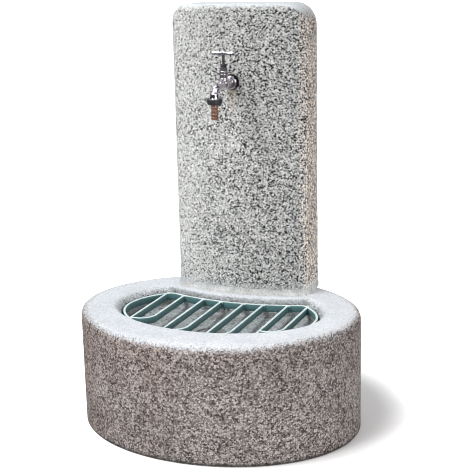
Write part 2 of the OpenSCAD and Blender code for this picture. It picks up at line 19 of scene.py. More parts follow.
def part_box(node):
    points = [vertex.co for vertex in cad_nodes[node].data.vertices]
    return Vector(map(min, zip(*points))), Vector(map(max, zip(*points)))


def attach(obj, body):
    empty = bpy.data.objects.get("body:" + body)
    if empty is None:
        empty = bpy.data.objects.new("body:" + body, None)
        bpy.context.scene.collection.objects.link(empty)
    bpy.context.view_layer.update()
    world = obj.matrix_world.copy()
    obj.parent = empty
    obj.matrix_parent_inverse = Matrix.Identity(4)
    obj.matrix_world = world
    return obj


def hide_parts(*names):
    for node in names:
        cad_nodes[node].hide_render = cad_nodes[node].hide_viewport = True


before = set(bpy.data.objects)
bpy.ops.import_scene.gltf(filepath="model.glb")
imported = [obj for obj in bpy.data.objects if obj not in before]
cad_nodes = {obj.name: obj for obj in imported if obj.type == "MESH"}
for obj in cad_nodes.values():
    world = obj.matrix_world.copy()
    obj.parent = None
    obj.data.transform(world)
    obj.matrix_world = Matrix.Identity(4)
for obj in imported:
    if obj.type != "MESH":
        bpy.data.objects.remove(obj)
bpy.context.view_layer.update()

# %% [markdown]
# ## Driving sizes
# A piece that is built here has to meet its CAD neighbours, so its sizes are read from the CAD nodes'
# boxes where they can be. Only the few that a box doesn't show, such as the radius of the bowed face, are
# written down again, in metres. An oval is given by its half width and half depth.

# %% Read the sizes
MM = 0.001
basin_lo, basin_hi = (Vector(c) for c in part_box("basin"))
column_lo, column_hi = (Vector(c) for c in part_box("column"))
band_lo, band_hi = (Vector(c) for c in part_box("grate_band"))
strainer_lo, strainer_hi = (Vector(c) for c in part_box("drain_strainer"))
handle_lo, handle_hi = (Vector(c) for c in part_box("tap_handle"))
nut_lo, nut_hi = (Vector(c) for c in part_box("union_nut"))
rosette_lo, rosette_hi = (Vector(c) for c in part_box("wall_rosette"))

rim_z = basin_hi.z
back_y = basin_hi.y
oval_depth = 480 * MM
oval_y = basin_lo.y + oval_depth / 2
half_w, half_d = (basin_hi.x - basin_lo.x) / 2, oval_depth / 2
face_radius = 425 * MM
arc_y = column_lo.y + face_radius
drain_y = (strainer_lo.y + strainer_hi.y) / 2
spindle_y = (handle_lo.y + handle_hi.y) / 2
bar_z = (handle_lo.z + handle_hi.z) / 2
outlet_y = (nut_lo.y + nut_hi.y) / 2
inlet_z = (rosette_lo.z + rosette_hi.z) / 2
opening = (229 * MM, 161 * MM)
recess_arc = 446 * MM
wall = 55 * MM
hollow = (half_w - wall, half_d - wall)
channel_half, channel_depth, room_depth = 30 * MM, 50 * MM, 105 * MM
print(f"rim {rim_z:.3f}, oval centre y {oval_y:.3f}, tap inlet z {inlet_z:.3f}, outlet y {outlet_y:.3f}")

# %% [markdown]
# ## Camera
# The fountain is seen from a little to its right and slightly above, through a long lens, so its upright
# edges stay nearly parallel. The camera sits on a sphere round a target in the middle of the object, which
# keeps the angle, the distance and the small tilt of a hand-held shot apart from each other.

# %% Place the camera
def place_camera(target, azimuth, elevation, distance, tilt, lens):
    a, e = math.radians(azimuth), math.radians(elevation)
    outward = Vector((math.sin(a) * math.cos(e), -math.cos(a) * math.cos(e), math.sin(e)))
    camera = bpy.data.objects.new("camera", bpy.data.cameras.new("camera"))
    camera.data.lens = lens
    camera.data.sensor_fit = "HORIZONTAL"
    camera.data.sensor_width = 36
    camera.rotation_mode = "QUATERNION"
    camera.location = target + outward * distance
    camera.rotation_quaternion = outward.to_track_quat("Z", "Y") @ Quaternion((0, 0, 1), math.radians(tilt))
    bpy.context.collection.objects.link(camera)
    bpy.context.scene.camera = camera
    return camera


camera = place_camera(target=Vector((0.0396, 0.015, 0.4068)), azimuth=22.03, elevation=14.09,
                      distance=2.371, tilt=-1.285, lens=88.7)
print("camera at", [round(v, 3) for v in camera.location])

# %% [markdown]
# ## Floor and light
# A studio packshot uses a white sweep and large soft lamps. The floor is a plain diffuse surface. What the
# camera sees directly of it and of the world is lifted to white with Light Path's Is Camera Ray. Close to
# the fountain that lift is faint, so the soft shadow stays. Polished metal needs something dark to
# reflect, or it looks like paint, so glossy rays see a studio with dark flags between bright openings, and
# a dim floor. The world isn't sampled as a lamp, because a lamp sample doesn't know that it belongs to a
# glossy ray. The lamps stay at a plain level, at which a colour renders about as it is written.

# %% Helpers for node trees
class Graph:
    """Short ways to add and link nodes in a material, world or group."""

    def __init__(self, tree):
        self.tree = tree

    def add(self, kind, ins=None, **props):
        node = self.tree.nodes.new(kind)
        for key, value in props.items():
            setattr(node, key, value)
        for key, value in (ins or {}).items():
            self.feed(node.inputs[key], value)
        return node

    def feed(self, socket, value):
        if isinstance(value, bpy.types.NodeSocket):
            self.tree.links.new(value, socket)
        elif hasattr(socket.default_value, "__len__") and len(socket.default_value) == 4 and len(value) == 3:
            socket.default_value = (*value, 1.0)
        else:
            socket.default_value = value

    def math(self, operation, a, b=0.0, clamp=False):
        return self.add("ShaderNodeMath", {0: a, 1: b}, operation=operation, use_clamp=clamp).outputs[0]

    def plus(self, a, b):
        return self.math("ADD", a, b)

    def minus(self, a, b):
        return self.math("SUBTRACT", a, b)

    def times(self, a, b):
        return self.math("MULTIPLY", a, b)

    def vector(self, operation, a, b=(0.0, 0.0, 0.0)):
        return self.add("ShaderNodeVectorMath", {0: a, 1: b}, operation=operation).outputs[0]

    def step(self, value, low, high):
        """0 below low, 1 above high, and a smooth rise between."""
        ins = {"Value": value, "From Min": low, "From Max": high}
        return self.add("ShaderNodeMapRange", ins, interpolation_type="SMOOTHSTEP").outputs["Result"]

    def span(self, value, low, high, to_low, to_high):
        ins = {"Value": value, "From Min": low, "From Max": high, "To Min": to_low, "To Max": to_high}
        return self.add("ShaderNodeMapRange", ins).outputs["Result"]

    def blend(self, factor, a, b, mode="MIX"):
        node = self.add("ShaderNodeMix", data_type="RGBA", blend_type=mode)
        for socket, value in zip((node.inputs[0], node.inputs[6], node.inputs[7]), (factor, a, b)):
            self.feed(socket, value)
        return node.outputs[2]

    def tinted(self, colour, tint):
        return self.blend(1.0, colour, tint, "MULTIPLY")

    def grey(self, tone):
        return self.add("ShaderNodeCombineColor", {0: tone, 1: tone, 2: tone}).outputs[0]


print("node helpers ready")

# %% Helpers for places and patterns
class Surface(Graph):
    """A Graph that also knows places, directions and patterns."""

    def place(self):
        return self.add("ShaderNodeTexCoord").outputs["Object"]

    def split(self, vector):
        """The x, y and z of a vector."""
        return self.add("ShaderNodeSeparateXYZ", {0: vector}).outputs

    def facing_up(self):
        """1 where the surface looks straight up, -1 where it looks straight down."""
        return self.split(self.add("ShaderNodeNewGeometry").outputs["Normal"])["Z"]

    def noise(self, vector, scale, detail=3.0, roughness=0.55):
        ins = {"Vector": vector, "Scale": scale, "Detail": detail, "Roughness": roughness}
        return self.add("ShaderNodeTexNoise", ins).outputs[0]

    def cells(self, vector, scale):
        """The distance to the middle of the nearest cell, and that cell's three random numbers."""
        pattern = self.add("ShaderNodeTexVoronoi", {"Vector": vector, "Scale": scale}).outputs
        return pattern["Distance"], self.add("ShaderNodeSeparateColor", {0: pattern["Color"]}).outputs


print("surface helpers ready")

# %% World
def studio_world():
    world = bpy.data.worlds.new("studio")
    world.use_nodes = True
    g = Surface(world.node_tree)
    g.tree.nodes.clear()
    seen = g.add("ShaderNodeLightPath")
    direct = g.math("MAXIMUM", seen.outputs["Is Camera Ray"], seen.outputs["Is Transmission Ray"])
    direction = g.add("ShaderNodeTexCoord").outputs["Generated"]
    height = g.split(direction)["Z"]
    sky = g.blend(g.step(height, -0.1, 0.9), (0.34, 0.34, 0.355), (0.58, 0.58, 0.58))
    flags = g.noise(direction, 1.9, 1.0, 0.4)
    glossy = g.blend(g.step(flags, 0.46, 0.52), (0.035, 0.034, 0.038), (1.25, 1.25, 1.28))
    glossy = g.blend(g.step(height, 0.26, 0.42), (0.045, 0.042, 0.046), glossy)
    sky = g.blend(seen.outputs["Is Glossy Ray"], sky, glossy)
    colour = g.blend(direct, sky, (1.0, 1.0, 1.0))
    background = g.add("ShaderNodeBackground", {"Color": colour, "Strength": 1.0})
    g.add("ShaderNodeOutputWorld", {"Surface": background.outputs[0]})
    world.cycles.sampling_method = "NONE"
    bpy.context.scene.world = world


studio_world()
print("world:", bpy.context.scene.world.name)

# %% Floor
def studio_floor(half, lift, shadow_middle, shadow_reach, fade_end):
    """A white floor. Its direct look is lifted by lift round the middle, and to full white past fade_end."""
    mesh = bpy.data.meshes.new("floor")
    corners = [(x * half, y * half, 0) for x, y in ((-1, -1), (1, -1), (1, 1), (-1, 1))]
    mesh.from_pydata(corners, [], [(0, 1, 2, 3)])
    floor = bpy.data.objects.new("floor", mesh)
    bpy.context.collection.objects.link(floor)
    paper = bpy.data.materials.new("white_paper")
    paper.use_nodes = True
    g = Surface(paper.node_tree)
    shader = g.tree.nodes["Principled BSDF"]
    seen = g.add("ShaderNodeLightPath")
    tone = g.blend(seen.outputs["Is Glossy Ray"], (0.80, 0.80, 0.80), (0.16, 0.16, 0.165))
    g.feed(shader.inputs["Base Color"], tone)
    g.feed(shader.inputs["Roughness"], 0.9)
    from_middle = g.vector("SUBTRACT", g.place(), shadow_middle)
    reach = g.add("ShaderNodeVectorMath", {0: from_middle}, operation="LENGTH").outputs["Value"]
    lifted = g.blend(g.step(reach, shadow_reach, fade_end), (lift, lift, lift), (1.0, 1.0, 1.0))
    g.feed(shader.inputs["Emission Color"], g.blend(seen.outputs["Is Camera Ray"], (0.0, 0.0, 0.0), lifted))
    shader.inputs["Emission Strength"].default_value = 1.0
    mesh.materials.append(paper)


studio_floor(half=40.0, lift=0.085, shadow_middle=(0.045, 0.085, 0.0), shadow_reach=0.265, fade_end=0.395)
bpy.context.scene.view_settings.view_transform = "Standard"
bpy.context.scene.cycles.filter_width = 1.1
print("floor ready")

# %% Lamps
def lamp(name, place, aim, size, power, tint=(1.0, 1.0, 1.0)):
    data = bpy.data.lights.new(name, "AREA")
    data.shape = "DISK"
    data.size = size
    data.energy = power
    data.color = tint
    obj = bpy.data.objects.new(name, data)
    obj.location = place
    obj.rotation_euler = (Vector(aim) - Vector(place)).to_track_quat("-Z", "Y").to_euler()
    bpy.context.collection.objects.link(obj)
    return obj


middle = (0.0, 0.0, 0.4)
lamp("key_lamp", (-1.7, -2.9, 2.7), middle, size=1.4, power=66)
lamp("top_lamp", (-1.2, -0.9, 3.2), middle, size=0.8, power=44)
lamp("fill_lamp", (3.0, -2.2, 1.6), middle, size=2.4, power=40, tint=(1.0, 0.95, 0.92))

# %% [markdown]
# ## Finish: washed aggregate
# Both castings were washed before they hardened, so small stones stand out of the cement. A cell pattern
# (Voronoi) gives one stone per cell: the distance to the cell's middle makes its outline and dome, and the
# cell's random colour picks a dark, middling or light stone. The coordinates are bent by a little noise
# first, so the stones are angular chips, not balls. A second, finer pattern is the sand in the cement.
# The effect is a node group, because four finishes share it with their own colours and sizes.

# %% Start a node group
def new_group(name, inputs, outputs):
    tree = bpy.data.node_groups.new(name, "ShaderNodeTree")
    kinds = {"V": "NodeSocketVector", "F": "NodeSocketFloat", "C": "NodeSocketColor"}
    for label, kind in inputs:
        tree.interface.new_socket(label, in_out="INPUT", socket_type=kinds[kind])
    for label, kind in outputs:
        tree.interface.new_socket(label, in_out="OUTPUT", socket_type=kinds[kind])
    g = Surface(tree)
    return g, g.add("NodeGroupInput").outputs, g.add("NodeGroupOutput").inputs


print("group helper ready")

# %% Build the aggregate group
def stone_shapes(g, bent, per_metre, gap):
    """How far inside its stone a point lies, and the stone's random numbers."""
    distance, dice = g.cells(bent, per_metre)
    edge = g.minus(g.plus(0.62, g.times(dice["Green"], 0.30)), gap)
    return g.minus(edge, distance), dice


def aggregate_group():
    g, given, out = new_group(
        "washed_aggregate",
        [("Vector", "V"), ("Stones Per Metre", "F"), ("Dark Share", "F"), ("Middling Share", "F"),
         ("Gap", "F"), ("Dark", "C"), ("Middling", "C"), ("Light", "C"), ("Cement", "C")],
        [("Color", "C"), ("Height", "F"), ("Dark Mask", "F")],
    )
    per_metre = given["Stones Per Metre"]
    wobble = g.add("ShaderNodeTexNoise", {"Vector": given["Vector"], "Scale": per_metre, "Detail": 2.0})
    offset = g.vector("SUBTRACT", wobble.outputs["Color"], (0.5, 0.5, 0.5))
    offset = g.vector("MULTIPLY", offset, g.vector("DIVIDE", (0.95, 0.95, 0.95), per_metre))
    bent = g.vector("ADD", given["Vector"], offset)
    inside, dice = stone_shapes(g, bent, per_metre, given["Gap"])
    stone = g.step(inside, 0.0, 0.14)
    dark = g.math("LESS_THAN", dice["Red"], given["Dark Share"])
    middling = g.math("LESS_THAN", dice["Red"], g.plus(given["Dark Share"], given["Middling Share"]))
    colour = g.blend(middling, given["Light"], given["Middling"])
    colour = g.blend(dark, colour, given["Dark"])
    colour = g.tinted(colour, g.grey(g.span(dice["Blue"], 0.0, 1.0, 0.72, 1.22)))
    grit = g.cells(bent, g.times(per_metre, 3.1))[1]["Red"]
    cement = g.tinted(given["Cement"], g.grey(g.span(grit, 0.0, 1.0, 0.62, 1.25)))
    g.feed(out["Color"], g.blend(stone, cement, colour))
    g.feed(out["Height"], g.plus(g.step(inside, -0.02, 0.45), g.times(grit, 0.18)))
    g.feed(out["Dark Mask"], g.times(dark, stone))
    return g.tree


washed_aggregate = aggregate_group()
print("group:", washed_aggregate.name, "nodes:", len(washed_aggregate.nodes))

# %% [markdown]
# ## Finish: plain cement
# The rim, the mortar and the faces that stood against the mould have no stones showing. Their cement is
# mottled by how it dried, carries fine sand, and has a few pinholes left by air, which are painted dark as
# painted shade. The same group serves the column's top, which is bleached and also carries a painted
# highlight where it looks up.

# %% Build the cement group
def cement_group():
    g, given, out = new_group(
        "plain_cement",
        [("Vector", "V"), ("Light", "C"), ("Dull", "C"), ("Speckle", "F"), ("Pinholes", "F")],
        [("Color", "C"), ("Height", "F")],
    )
    place = given["Vector"]
    cloud = g.noise(place, 22.0, 5.0, 0.62)
    colour = g.blend(g.step(cloud, 0.36, 0.66), given["Dull"], given["Light"])
    distance, grit = g.cells(place, 420.0)
    fleck = g.times(g.math("GREATER_THAN", grit["Red"], 0.80), g.step(distance, 0.5, 0.2))
    colour = g.blend(g.times(fleck, given["Speckle"]), colour, (0.16, 0.15, 0.145))
    colour = g.tinted(colour, g.grey(g.span(grit["Blue"], 0.0, 1.0, 0.80, 1.07)))
    distance, pick = g.cells(place, 95.0)
    hole = g.times(g.math("GREATER_THAN", pick["Green"], 0.86), g.step(distance, 0.16, 0.10))
    hole = g.times(hole, given["Pinholes"])
    # Painted shade: the pinholes are painted dark.
    g.feed(out["Color"], g.blend(g.times(hole, 0.6), colour, (0.10, 0.095, 0.09)))
    rough = g.plus(g.times(grit["Green"], 0.25), g.times(cloud, 0.8))
    g.feed(out["Height"], g.minus(rough, g.times(hole, 1.5)))
    return g.tree


plain_cement = cement_group()
print("group:", plain_cement.name, "nodes:", len(plain_cement.nodes))

# %% [markdown]
# ## Finish: the basin
# The basin's look changes over its surface. Its wall is dense pinkish brown aggregate, its rim was
# trowelled and has bleached nearly white, the bowl inside is light grey with small dark chips, and the
# back and the hollow underside are bare moulded cement. One material holds all four, and masks made from
# the place on the object choose between them. The edge of each mask is broken up with noise, because the
# trowelled skin ends raggedly just below the rounded rim.

# %% Start a material
def new_material(name, metallic=0.0, roughness=0.5, **constants):
    """A material with its Principled shader. Constants go straight on the shader's own sockets."""
    material = bpy.data.materials.new(name)
    material.use_nodes = True
    g = Surface(material.node_tree)
    shader = g.tree.nodes["Principled BSDF"]
    shader.inputs["Metallic"].default_value = metallic
    shader.inputs["Roughness"].default_value = roughness
    for key, value in constants.items():
        shader.inputs[key.replace("_", " ")].default_value = value
    return material, g, shader


def use_group(g, tree, ins):
    node = g.add("ShaderNodeGroup")
    node.node_tree = tree
    for key, value in ins.items():
        g.feed(node.inputs[key], value)
    return node.outputs


def relief(g, shader, height, distance):
    bump = g.add("ShaderNodeBump", {"Strength": 1.0, "Distance": distance, "Height": height})
    g.feed(shader.inputs["Normal"], bump.outputs[0])


print("material helpers ready")

# %% What both castings share
def patchy(g, place, scale, detail=3.0, roughness=0.55):
    """Noise with its middle at zero, to break up the edge of a mask."""
    return g.minus(g.noise(place, scale, detail, roughness), 0.5)


def moulded(g, place):
    """Bare cement that stood against the mould."""
    return use_group(g, plain_cement, {
        "Vector": place, "Light": (0.47, 0.46, 0.44), "Dull": (0.34, 0.33, 0.315), "Speckle": 0.35,
        "Pinholes": 1.0})


def at_the_back(g, y, ragged):
    return g.step(g.plus(y, g.times(ragged, 2 * MM)), back_y - 3.5 * MM, back_y - 1.5 * MM)


def ovalness(g, x, y, half):
    """1 on the oval with those half sizes, less inside it and more outside."""
    across = g.math("POWER", g.math("DIVIDE", x, half[0]), 2.0)
    along = g.math("POWER", g.math("DIVIDE", g.minus(y, oval_y), half[1]), 2.0)
    return g.plus(across, along)


print("shared looks ready")

# %% Mixes of the basin
WALL_MIX = {
    "Stones Per Metre": 290.0, "Middling Share": 0.30, "Gap": 0.04, "Dark": (0.032, 0.028, 0.028),
    "Middling": (0.225, 0.198, 0.192), "Light": (0.535, 0.487, 0.473), "Cement": (0.180, 0.158, 0.152)}
BOWL_MIX = {
    "Stones Per Metre": 230.0, "Dark Share": 0.045, "Middling Share": 0.22, "Gap": 0.20,
    "Dark": (0.05, 0.05, 0.048), "Middling": (0.35, 0.375, 0.38), "Light": (0.52, 0.56, 0.575),
    "Cement": (0.42, 0.455, 0.465)}
RIM_SKIN = {"Light": (0.785, 0.815, 0.855), "Dull": (0.73, 0.76, 0.80), "Speckle": 0.26, "Pinholes": 0.35}
print("basin mixes:", len(WALL_MIX), len(BOWL_MIX), len(RIM_SKIN))

# %% Masks of the basin
def bowl_mask(g, x, y, z, ragged, grainy):
    """1 inside the bowl: inside its oval, in front of the arc round the column, and above the hollow."""
    edge = (opening[0] - 1.5 * MM, opening[1] - 1.5 * MM)
    dissolve = g.plus(g.times(ragged, 0.10), g.times(grainy, 0.22))
    inside = g.step(g.plus(ovalness(g, x, y, edge), dissolve), 1.00, 0.91)
    away = g.math("SQRT", g.plus(g.math("POWER", x, 2.0), g.math("POWER", g.minus(arc_y, y), 2.0)))
    away = g.plus(away, g.times(ragged, 4 * MM))
    inside = g.times(inside, g.step(away, recess_arc - 1.5 * MM, recess_arc + 0.5 * MM))
    return g.times(inside, g.step(z, 170 * MM, 180 * MM))


def rim_mask(g, x, y, low, grainy):
    """1 on the trowelled rim. Its skin reaches less far down at the left and right ends."""
    skin = g.plus(low, g.times(grainy, 34 * MM))
    ends = g.step(g.math("ABSOLUTE", x), 120 * MM, 260 * MM)
    ends = g.times(ends, g.step(ovalness(g, x, y, (half_w, half_d)), 0.80, 1.0))
    skin = g.minus(skin, g.times(ends, 10 * MM))
    return g.step(skin, rim_z - 19 * MM, rim_z - 4 * MM)


def mould_mask(g, x, y, z, ragged):
    """1 under the slab, in the hollow, in the pipe channel and on the back."""
    inner_side = (hollow[0] + 17 * MM, hollow[1] + 17 * MM)
    under = g.times(g.step(ovalness(g, x, y, inner_side), 1.0, 0.97), g.step(z, 172 * MM, 165 * MM))
    under = g.math("MAXIMUM", under, g.step(g.facing_up(), -0.5, -0.8))
    in_width = g.step(g.math("ABSOLUTE", x), channel_half + 2.5 * MM, channel_half + 1 * MM)
    room_y = back_y - room_depth
    channel = g.times(in_width, g.step(y, room_y - 3 * MM, room_y - 1 * MM))
    return g.math("MAXIMUM", g.math("MAXIMUM", under, channel), at_the_back(g, y, ragged), clamp=True)


print("basin masks ready")

# %% Basin concrete
def basin_tint(g, place, x, smooth_skin):
    """Broad clouds, a little lighter to the right, and a brown cast in places on the wall."""
    cloud = g.plus(g.times(g.noise(place, 6.0), 0.6), g.times(g.noise(place, 27.0, 4.0), 0.4))
    cloud = g.times(g.span(cloud, 0.38, 0.62, 0.77, 1.11), g.span(x, -0.26, 0.28, 0.93, 1.05))
    tint = g.grey(cloud)
    brown = g.tinted(tint, (1.04, 0.965, 0.925))
    tint = g.blend(g.step(g.noise(place, 3.2), 0.40, 0.60), brown, tint)
    pale = g.blend(g.step(x, -0.16, 0.16), (0.915, 0.92, 0.925), (1.0, 1.0, 1.0))
    return g.blend(smooth_skin, tint, pale)


def basin_concrete():
    material, g, shader = new_material("basin_concrete", roughness=0.92, Specular_IOR_Level=0.25)
    place = g.place()
    x, y, z = g.split(place)
    ragged, grainy = patchy(g, place, 75.0, 4.0, 0.7), patchy(g, place, 300.0, 2.0, 0.6)
    dark_share = g.span(g.noise(place, 34.0), 0.34, 0.66, 0.08, 0.30)
    wall = use_group(g, washed_aggregate, {"Vector": place, "Dark Share": dark_share, **WALL_MIX})
    bowl = use_group(g, washed_aggregate, {"Vector": place, **BOWL_MIX})
    rim = use_group(g, plain_cement, {"Vector": place, **RIM_SKIN})
    mould = moulded(g, place)
    low = g.plus(z, g.times(ragged, 10 * MM))
    trowelled = rim_mask(g, x, y, low, grainy)
    inside = bowl_mask(g, x, y, z, ragged, grainy)
    under = mould_mask(g, x, y, z, ragged)

    colour = g.blend(0.13, wall["Color"], (0.30, 0.275, 0.262))
    colour = g.blend(trowelled, colour, rim["Color"])
    colour = g.blend(inside, colour, bowl["Color"])
    stain = g.times(g.step(g.noise(place, 24.0, 4.0, 0.65), 0.49, 0.60), g.step(y, -40 * MM, 60 * MM))
    colour = g.blend(g.times(g.times(stain, inside), 0.5), colour, (0.19, 0.165, 0.135))
    colour = g.blend(under, colour, mould["Color"])
    # Painted contact shadow: a near-black band along the foot, below about 12 mm, but not on moulded faces.
    foot_shadow = g.times(g.step(low, 12 * MM, 2 * MM), g.minus(1.0, under))
    colour = g.blend(g.times(foot_shadow, 0.94), colour, (0.035, 0.032, 0.030))
    tint = basin_tint(g, place, x, g.math("MAXIMUM", trowelled, inside))
    g.feed(shader.inputs["Base Color"], g.tinted(colour, tint))

    stony = g.times(g.minus(1.0, g.math("MAXIMUM", trowelled, under)), wall["Height"])
    g.feed(shader.inputs["Roughness"], g.span(wall["Dark Mask"], 0.0, 1.0, 0.93, 0.72))
    relief(g, shader, g.plus(stony, g.times(mould["Height"], 0.3)), 1.1 * MM)
    return material


materials = {"basin_concrete": basin_concrete()}
print("made", list(materials))

# %% [markdown]
# ## Finish: the column
# The column's mix has a pale cement with small black chips. Its left part was washed less deeply, so the
# chips are faint there, and they get stronger towards the right. Its right flank is painted lighter and
# pinkish brown: painted light, as warm light bounced onto that side. Its top and foot have bleached, and
# the faces that look up also carry a painted highlight. Below the rosette a brown run is rust together
# with a painted shadow of the tap, and the few holes left by lost stones are painted nearly black as
# painted shade.

# %% Mixes of the column
DEEP_MIX = {
    "Stones Per Metre": 335.0, "Middling Share": 0.18, "Gap": 0.08, "Dark": (0.012, 0.012, 0.013),
    "Middling": (0.36, 0.36, 0.355), "Light": (0.93, 0.93, 0.91), "Cement": (0.62, 0.62, 0.61)}
FAINT_MIX = {
    "Stones Per Metre": 335.0, "Middling Share": 0.18, "Gap": 0.10, "Dark": (0.09, 0.09, 0.085),
    "Middling": (0.50, 0.50, 0.49), "Light": (0.90, 0.90, 0.88), "Cement": (0.74, 0.74, 0.725)}
TOP_SKIN = {"Light": (0.79, 0.82, 0.845), "Dull": (0.68, 0.71, 0.735), "Speckle": 0.35, "Pinholes": 0.4}
print("column mixes:", len(DEEP_MIX), len(FAINT_MIX), len(TOP_SKIN))

# %% Masks of the column
def nick_mask(g, place, ragged):
    """1 in the few large holes where a stone has come out."""
    distance, pick = g.cells(g.vector("MULTIPLY", place, (1.0, 1.0, 0.8)), 62.0)
    distance = g.plus(distance, g.times(ragged, 0.22))
    return g.times(g.math("GREATER_THAN", pick["Red"], 0.955), g.step(distance, 0.20, 0.15))


def top_mask(g, z, ragged):
    """1 on the faces that look up and close to the top: bleached cement, and painted highlight where it looks
    up.
    """
    facing = g.step(g.plus(g.facing_up(), g.times(ragged, 0.9)), 0.22, 0.80)
    crest = g.step(g.plus(z, g.times(ragged, 26 * MM)), column_hi.z - 15 * MM, column_hi.z - 1 * MM)
    return g.math("MAXIMUM", facing, g.times(crest, 0.85))


def rust_and_shadow_mask(g, x, y, z, ragged):
    """A brown run below the rosette, on the front only: a rust stain and a painted shadow of the tap."""
    run_x = g.step(g.math("ABSOLUTE", g.plus(x, g.times(ragged, 20 * MM))), 16 * MM, 4 * MM)
    run_z = g.times(g.step(z, inlet_z - 85 * MM, inlet_z - 20 * MM),
                    g.step(z, inlet_z + 4 * MM, inlet_z - 12 * MM))
    return g.times(g.times(run_x, run_z), g.times(g.step(y, 160 * MM, 140 * MM), 0.45))


def bare_mask(g, x, y, z, ragged):
    """1 on the back and in the pipe channel."""
    in_width = g.step(g.math("ABSOLUTE", x), channel_half + 4 * MM, channel_half + 2.5 * MM)
    channel = g.times(in_width, g.step(y, 168 * MM, 170 * MM))
    channel = g.times(channel, g.step(z, 782 * MM, 779 * MM))
    return g.math("MAXIMUM", at_the_back(g, y, ragged), channel, clamp=True)


print("column masks ready")

# %% Column concrete
FLANK_START, FLANK_END = 136 * MM, 149 * MM


def column_tint(g, place, x, z, bleached_and_lit_top):
    """Darker to the right and upwards over the front, and painted lighter on the shaded flank as painted
    light.
    """
    cloud = g.span(g.noise(place, 6.0, 4.0), 0.3, 0.7, 0.93, 1.06)
    cloud = g.times(cloud, g.span(x, -130 * MM, 120 * MM, 0.785, 0.64))
    # Painted light: the flank, which the lamps leave in shade, is made up to 1.8 times lighter.
    cloud = g.times(cloud, g.span(x, FLANK_START, FLANK_END, 1.0, 1.80))
    cloud = g.times(cloud, g.span(z, 300 * MM, 840 * MM, 1.17, 0.955))
    return g.tinted(g.blend(bleached_and_lit_top, g.grey(cloud), (0.97, 0.97, 0.97)), (0.985, 1.0, 0.995))


def column_concrete():
    material, g, shader = new_material("column_concrete", roughness=0.92, Specular_IOR_Level=0.25)
    place = g.place()
    x, y, z = g.split(place)
    ragged = patchy(g, place, 60.0, 4.0, 0.7)
    crowd = g.noise(place, 38.0)
    deep_share, faint_share = (g.span(crowd, 0.34, 0.66, *share) for share in ((0.26, 0.39), (0.16, 0.27)))
    deep = use_group(g, washed_aggregate, {"Vector": place, "Dark Share": deep_share, **DEEP_MIX})
    faint = use_group(g, washed_aggregate, {"Vector": place, "Dark Share": faint_share, **FAINT_MIX})
    top = use_group(g, plain_cement, {"Vector": place, **TOP_SKIN})
    mould = moulded(g, place)
    nick, bleached_and_lit_top = nick_mask(g, place, ragged), top_mask(g, z, ragged)
    bare = bare_mask(g, x, y, z, ragged)

    across = g.plus(x, g.times(patchy(g, place, 9.0), 160 * MM))
    colour = g.blend(g.step(across, -135 * MM, 20 * MM), faint["Color"], deep["Color"])
    # Painted shade: the holes where a stone has come out are painted nearly black.
    colour = g.blend(nick, colour, (0.02, 0.02, 0.021))
    # Painted bounce light: the right flank is tinted pinkish brown, as if warm light were reflected onto it.
    flank = g.times(g.step(x, FLANK_START, FLANK_END), 0.75)
    colour = g.blend(flank, colour, g.tinted(colour, (0.90, 0.78, 0.71)))
    foot = g.step(g.plus(z, g.times(ragged, 30 * MM)), column_lo.z + 20 * MM, column_lo.z + 4 * MM)
    # Bleached top and foot. Where the faces look up, the pale colour is also a painted highlight.
    colour = g.blend(g.math("MAXIMUM", bleached_and_lit_top, g.times(foot, 0.55)), colour, top["Color"])
    # Rust stain and the tap's painted shadow below the rosette.
    colour = g.blend(rust_and_shadow_mask(g, x, y, z, ragged), colour, (0.30, 0.185, 0.11))
    colour = g.blend(bare, colour, mould["Color"])
    g.feed(shader.inputs["Base Color"], g.tinted(colour, column_tint(g, place, x, z, bleached_and_lit_top)))

    g.feed(shader.inputs["Roughness"], g.span(deep["Dark Mask"], 0.0, 1.0, 0.93, 0.75))
    stony = g.times(g.minus(1.0, g.math("MAXIMUM", bleached_and_lit_top, bare)), deep["Height"])
    stony = g.minus(stony, g.times(nick, 1.5))
    relief(g, shader, g.plus(stony, g.times(mould["Height"], 0.3)), 0.8 * MM)
    return material


materials["column_concrete"] = column_concrete()
print("made column_concrete")

# %% Mortar
def mortar():
    material, g, shader = new_material("mortar", roughness=0.95, Specular_IOR_Level=0.2)
    place = g.place()
    made = use_group(g, plain_cement, {
        "Vector": place, "Light": (0.70, 0.72, 0.72), "Dull": (0.50, 0.51, 0.505), "Speckle": 0.9,
        "Pinholes": 0.8})
    grime = g.step(g.noise(place, 34.0, 4.0), 0.50, 0.72)
    colour = g.blend(g.times(grime, 0.30), made["Color"], (0.42, 0.39, 0.35))
    # Painted light: the mortar on the shaded flank is painted about a fifth lighter.
    on_the_flank = g.step(g.split(place)["X"], 135 * MM, 150 * MM)
    colour = g.blend(on_the_flank, colour, g.tinted(colour, (1.22, 1.20, 1.18)))
    g.feed(shader.inputs["Base Color"], colour)
    relief(g, shader, made["Height"], 0.9 * MM)
    return material


materials["mortar"] = mortar()
print("made mortar")

# %% [markdown]
# ## Finish: worn edges and painted sheen
# Paint and plating wear first where an edge stands out. Geometry's Pointiness is high on such an edge, and
# a little noise breaks the worn band up. On the copper tail the same lighter edge colour is also a painted
# highlight along the barbs' crests. This mask is a group of its own, since the painted grate, the chrome,
# the brass, the copper and the dark metal all use it. So is the grain, which gives metals and plastics
# their uneven shine.

# %% Build the wear and grain groups
def edge_wear_and_sheen_group():
    g, given, out = new_group(
        "edge_wear_and_sheen", [("Vector", "V"), ("Start", "F"), ("Patchiness", "F")], [("Mask", "F")])
    sharp = g.add("ShaderNodeNewGeometry").outputs["Pointiness"]
    patch = g.times(patchy(g, given["Vector"], 160.0, 4.0, 0.65), given["Patchiness"])
    g.feed(out["Mask"], g.step(g.plus(sharp, patch), given["Start"], g.plus(given["Start"], 0.05)))
    return g.tree


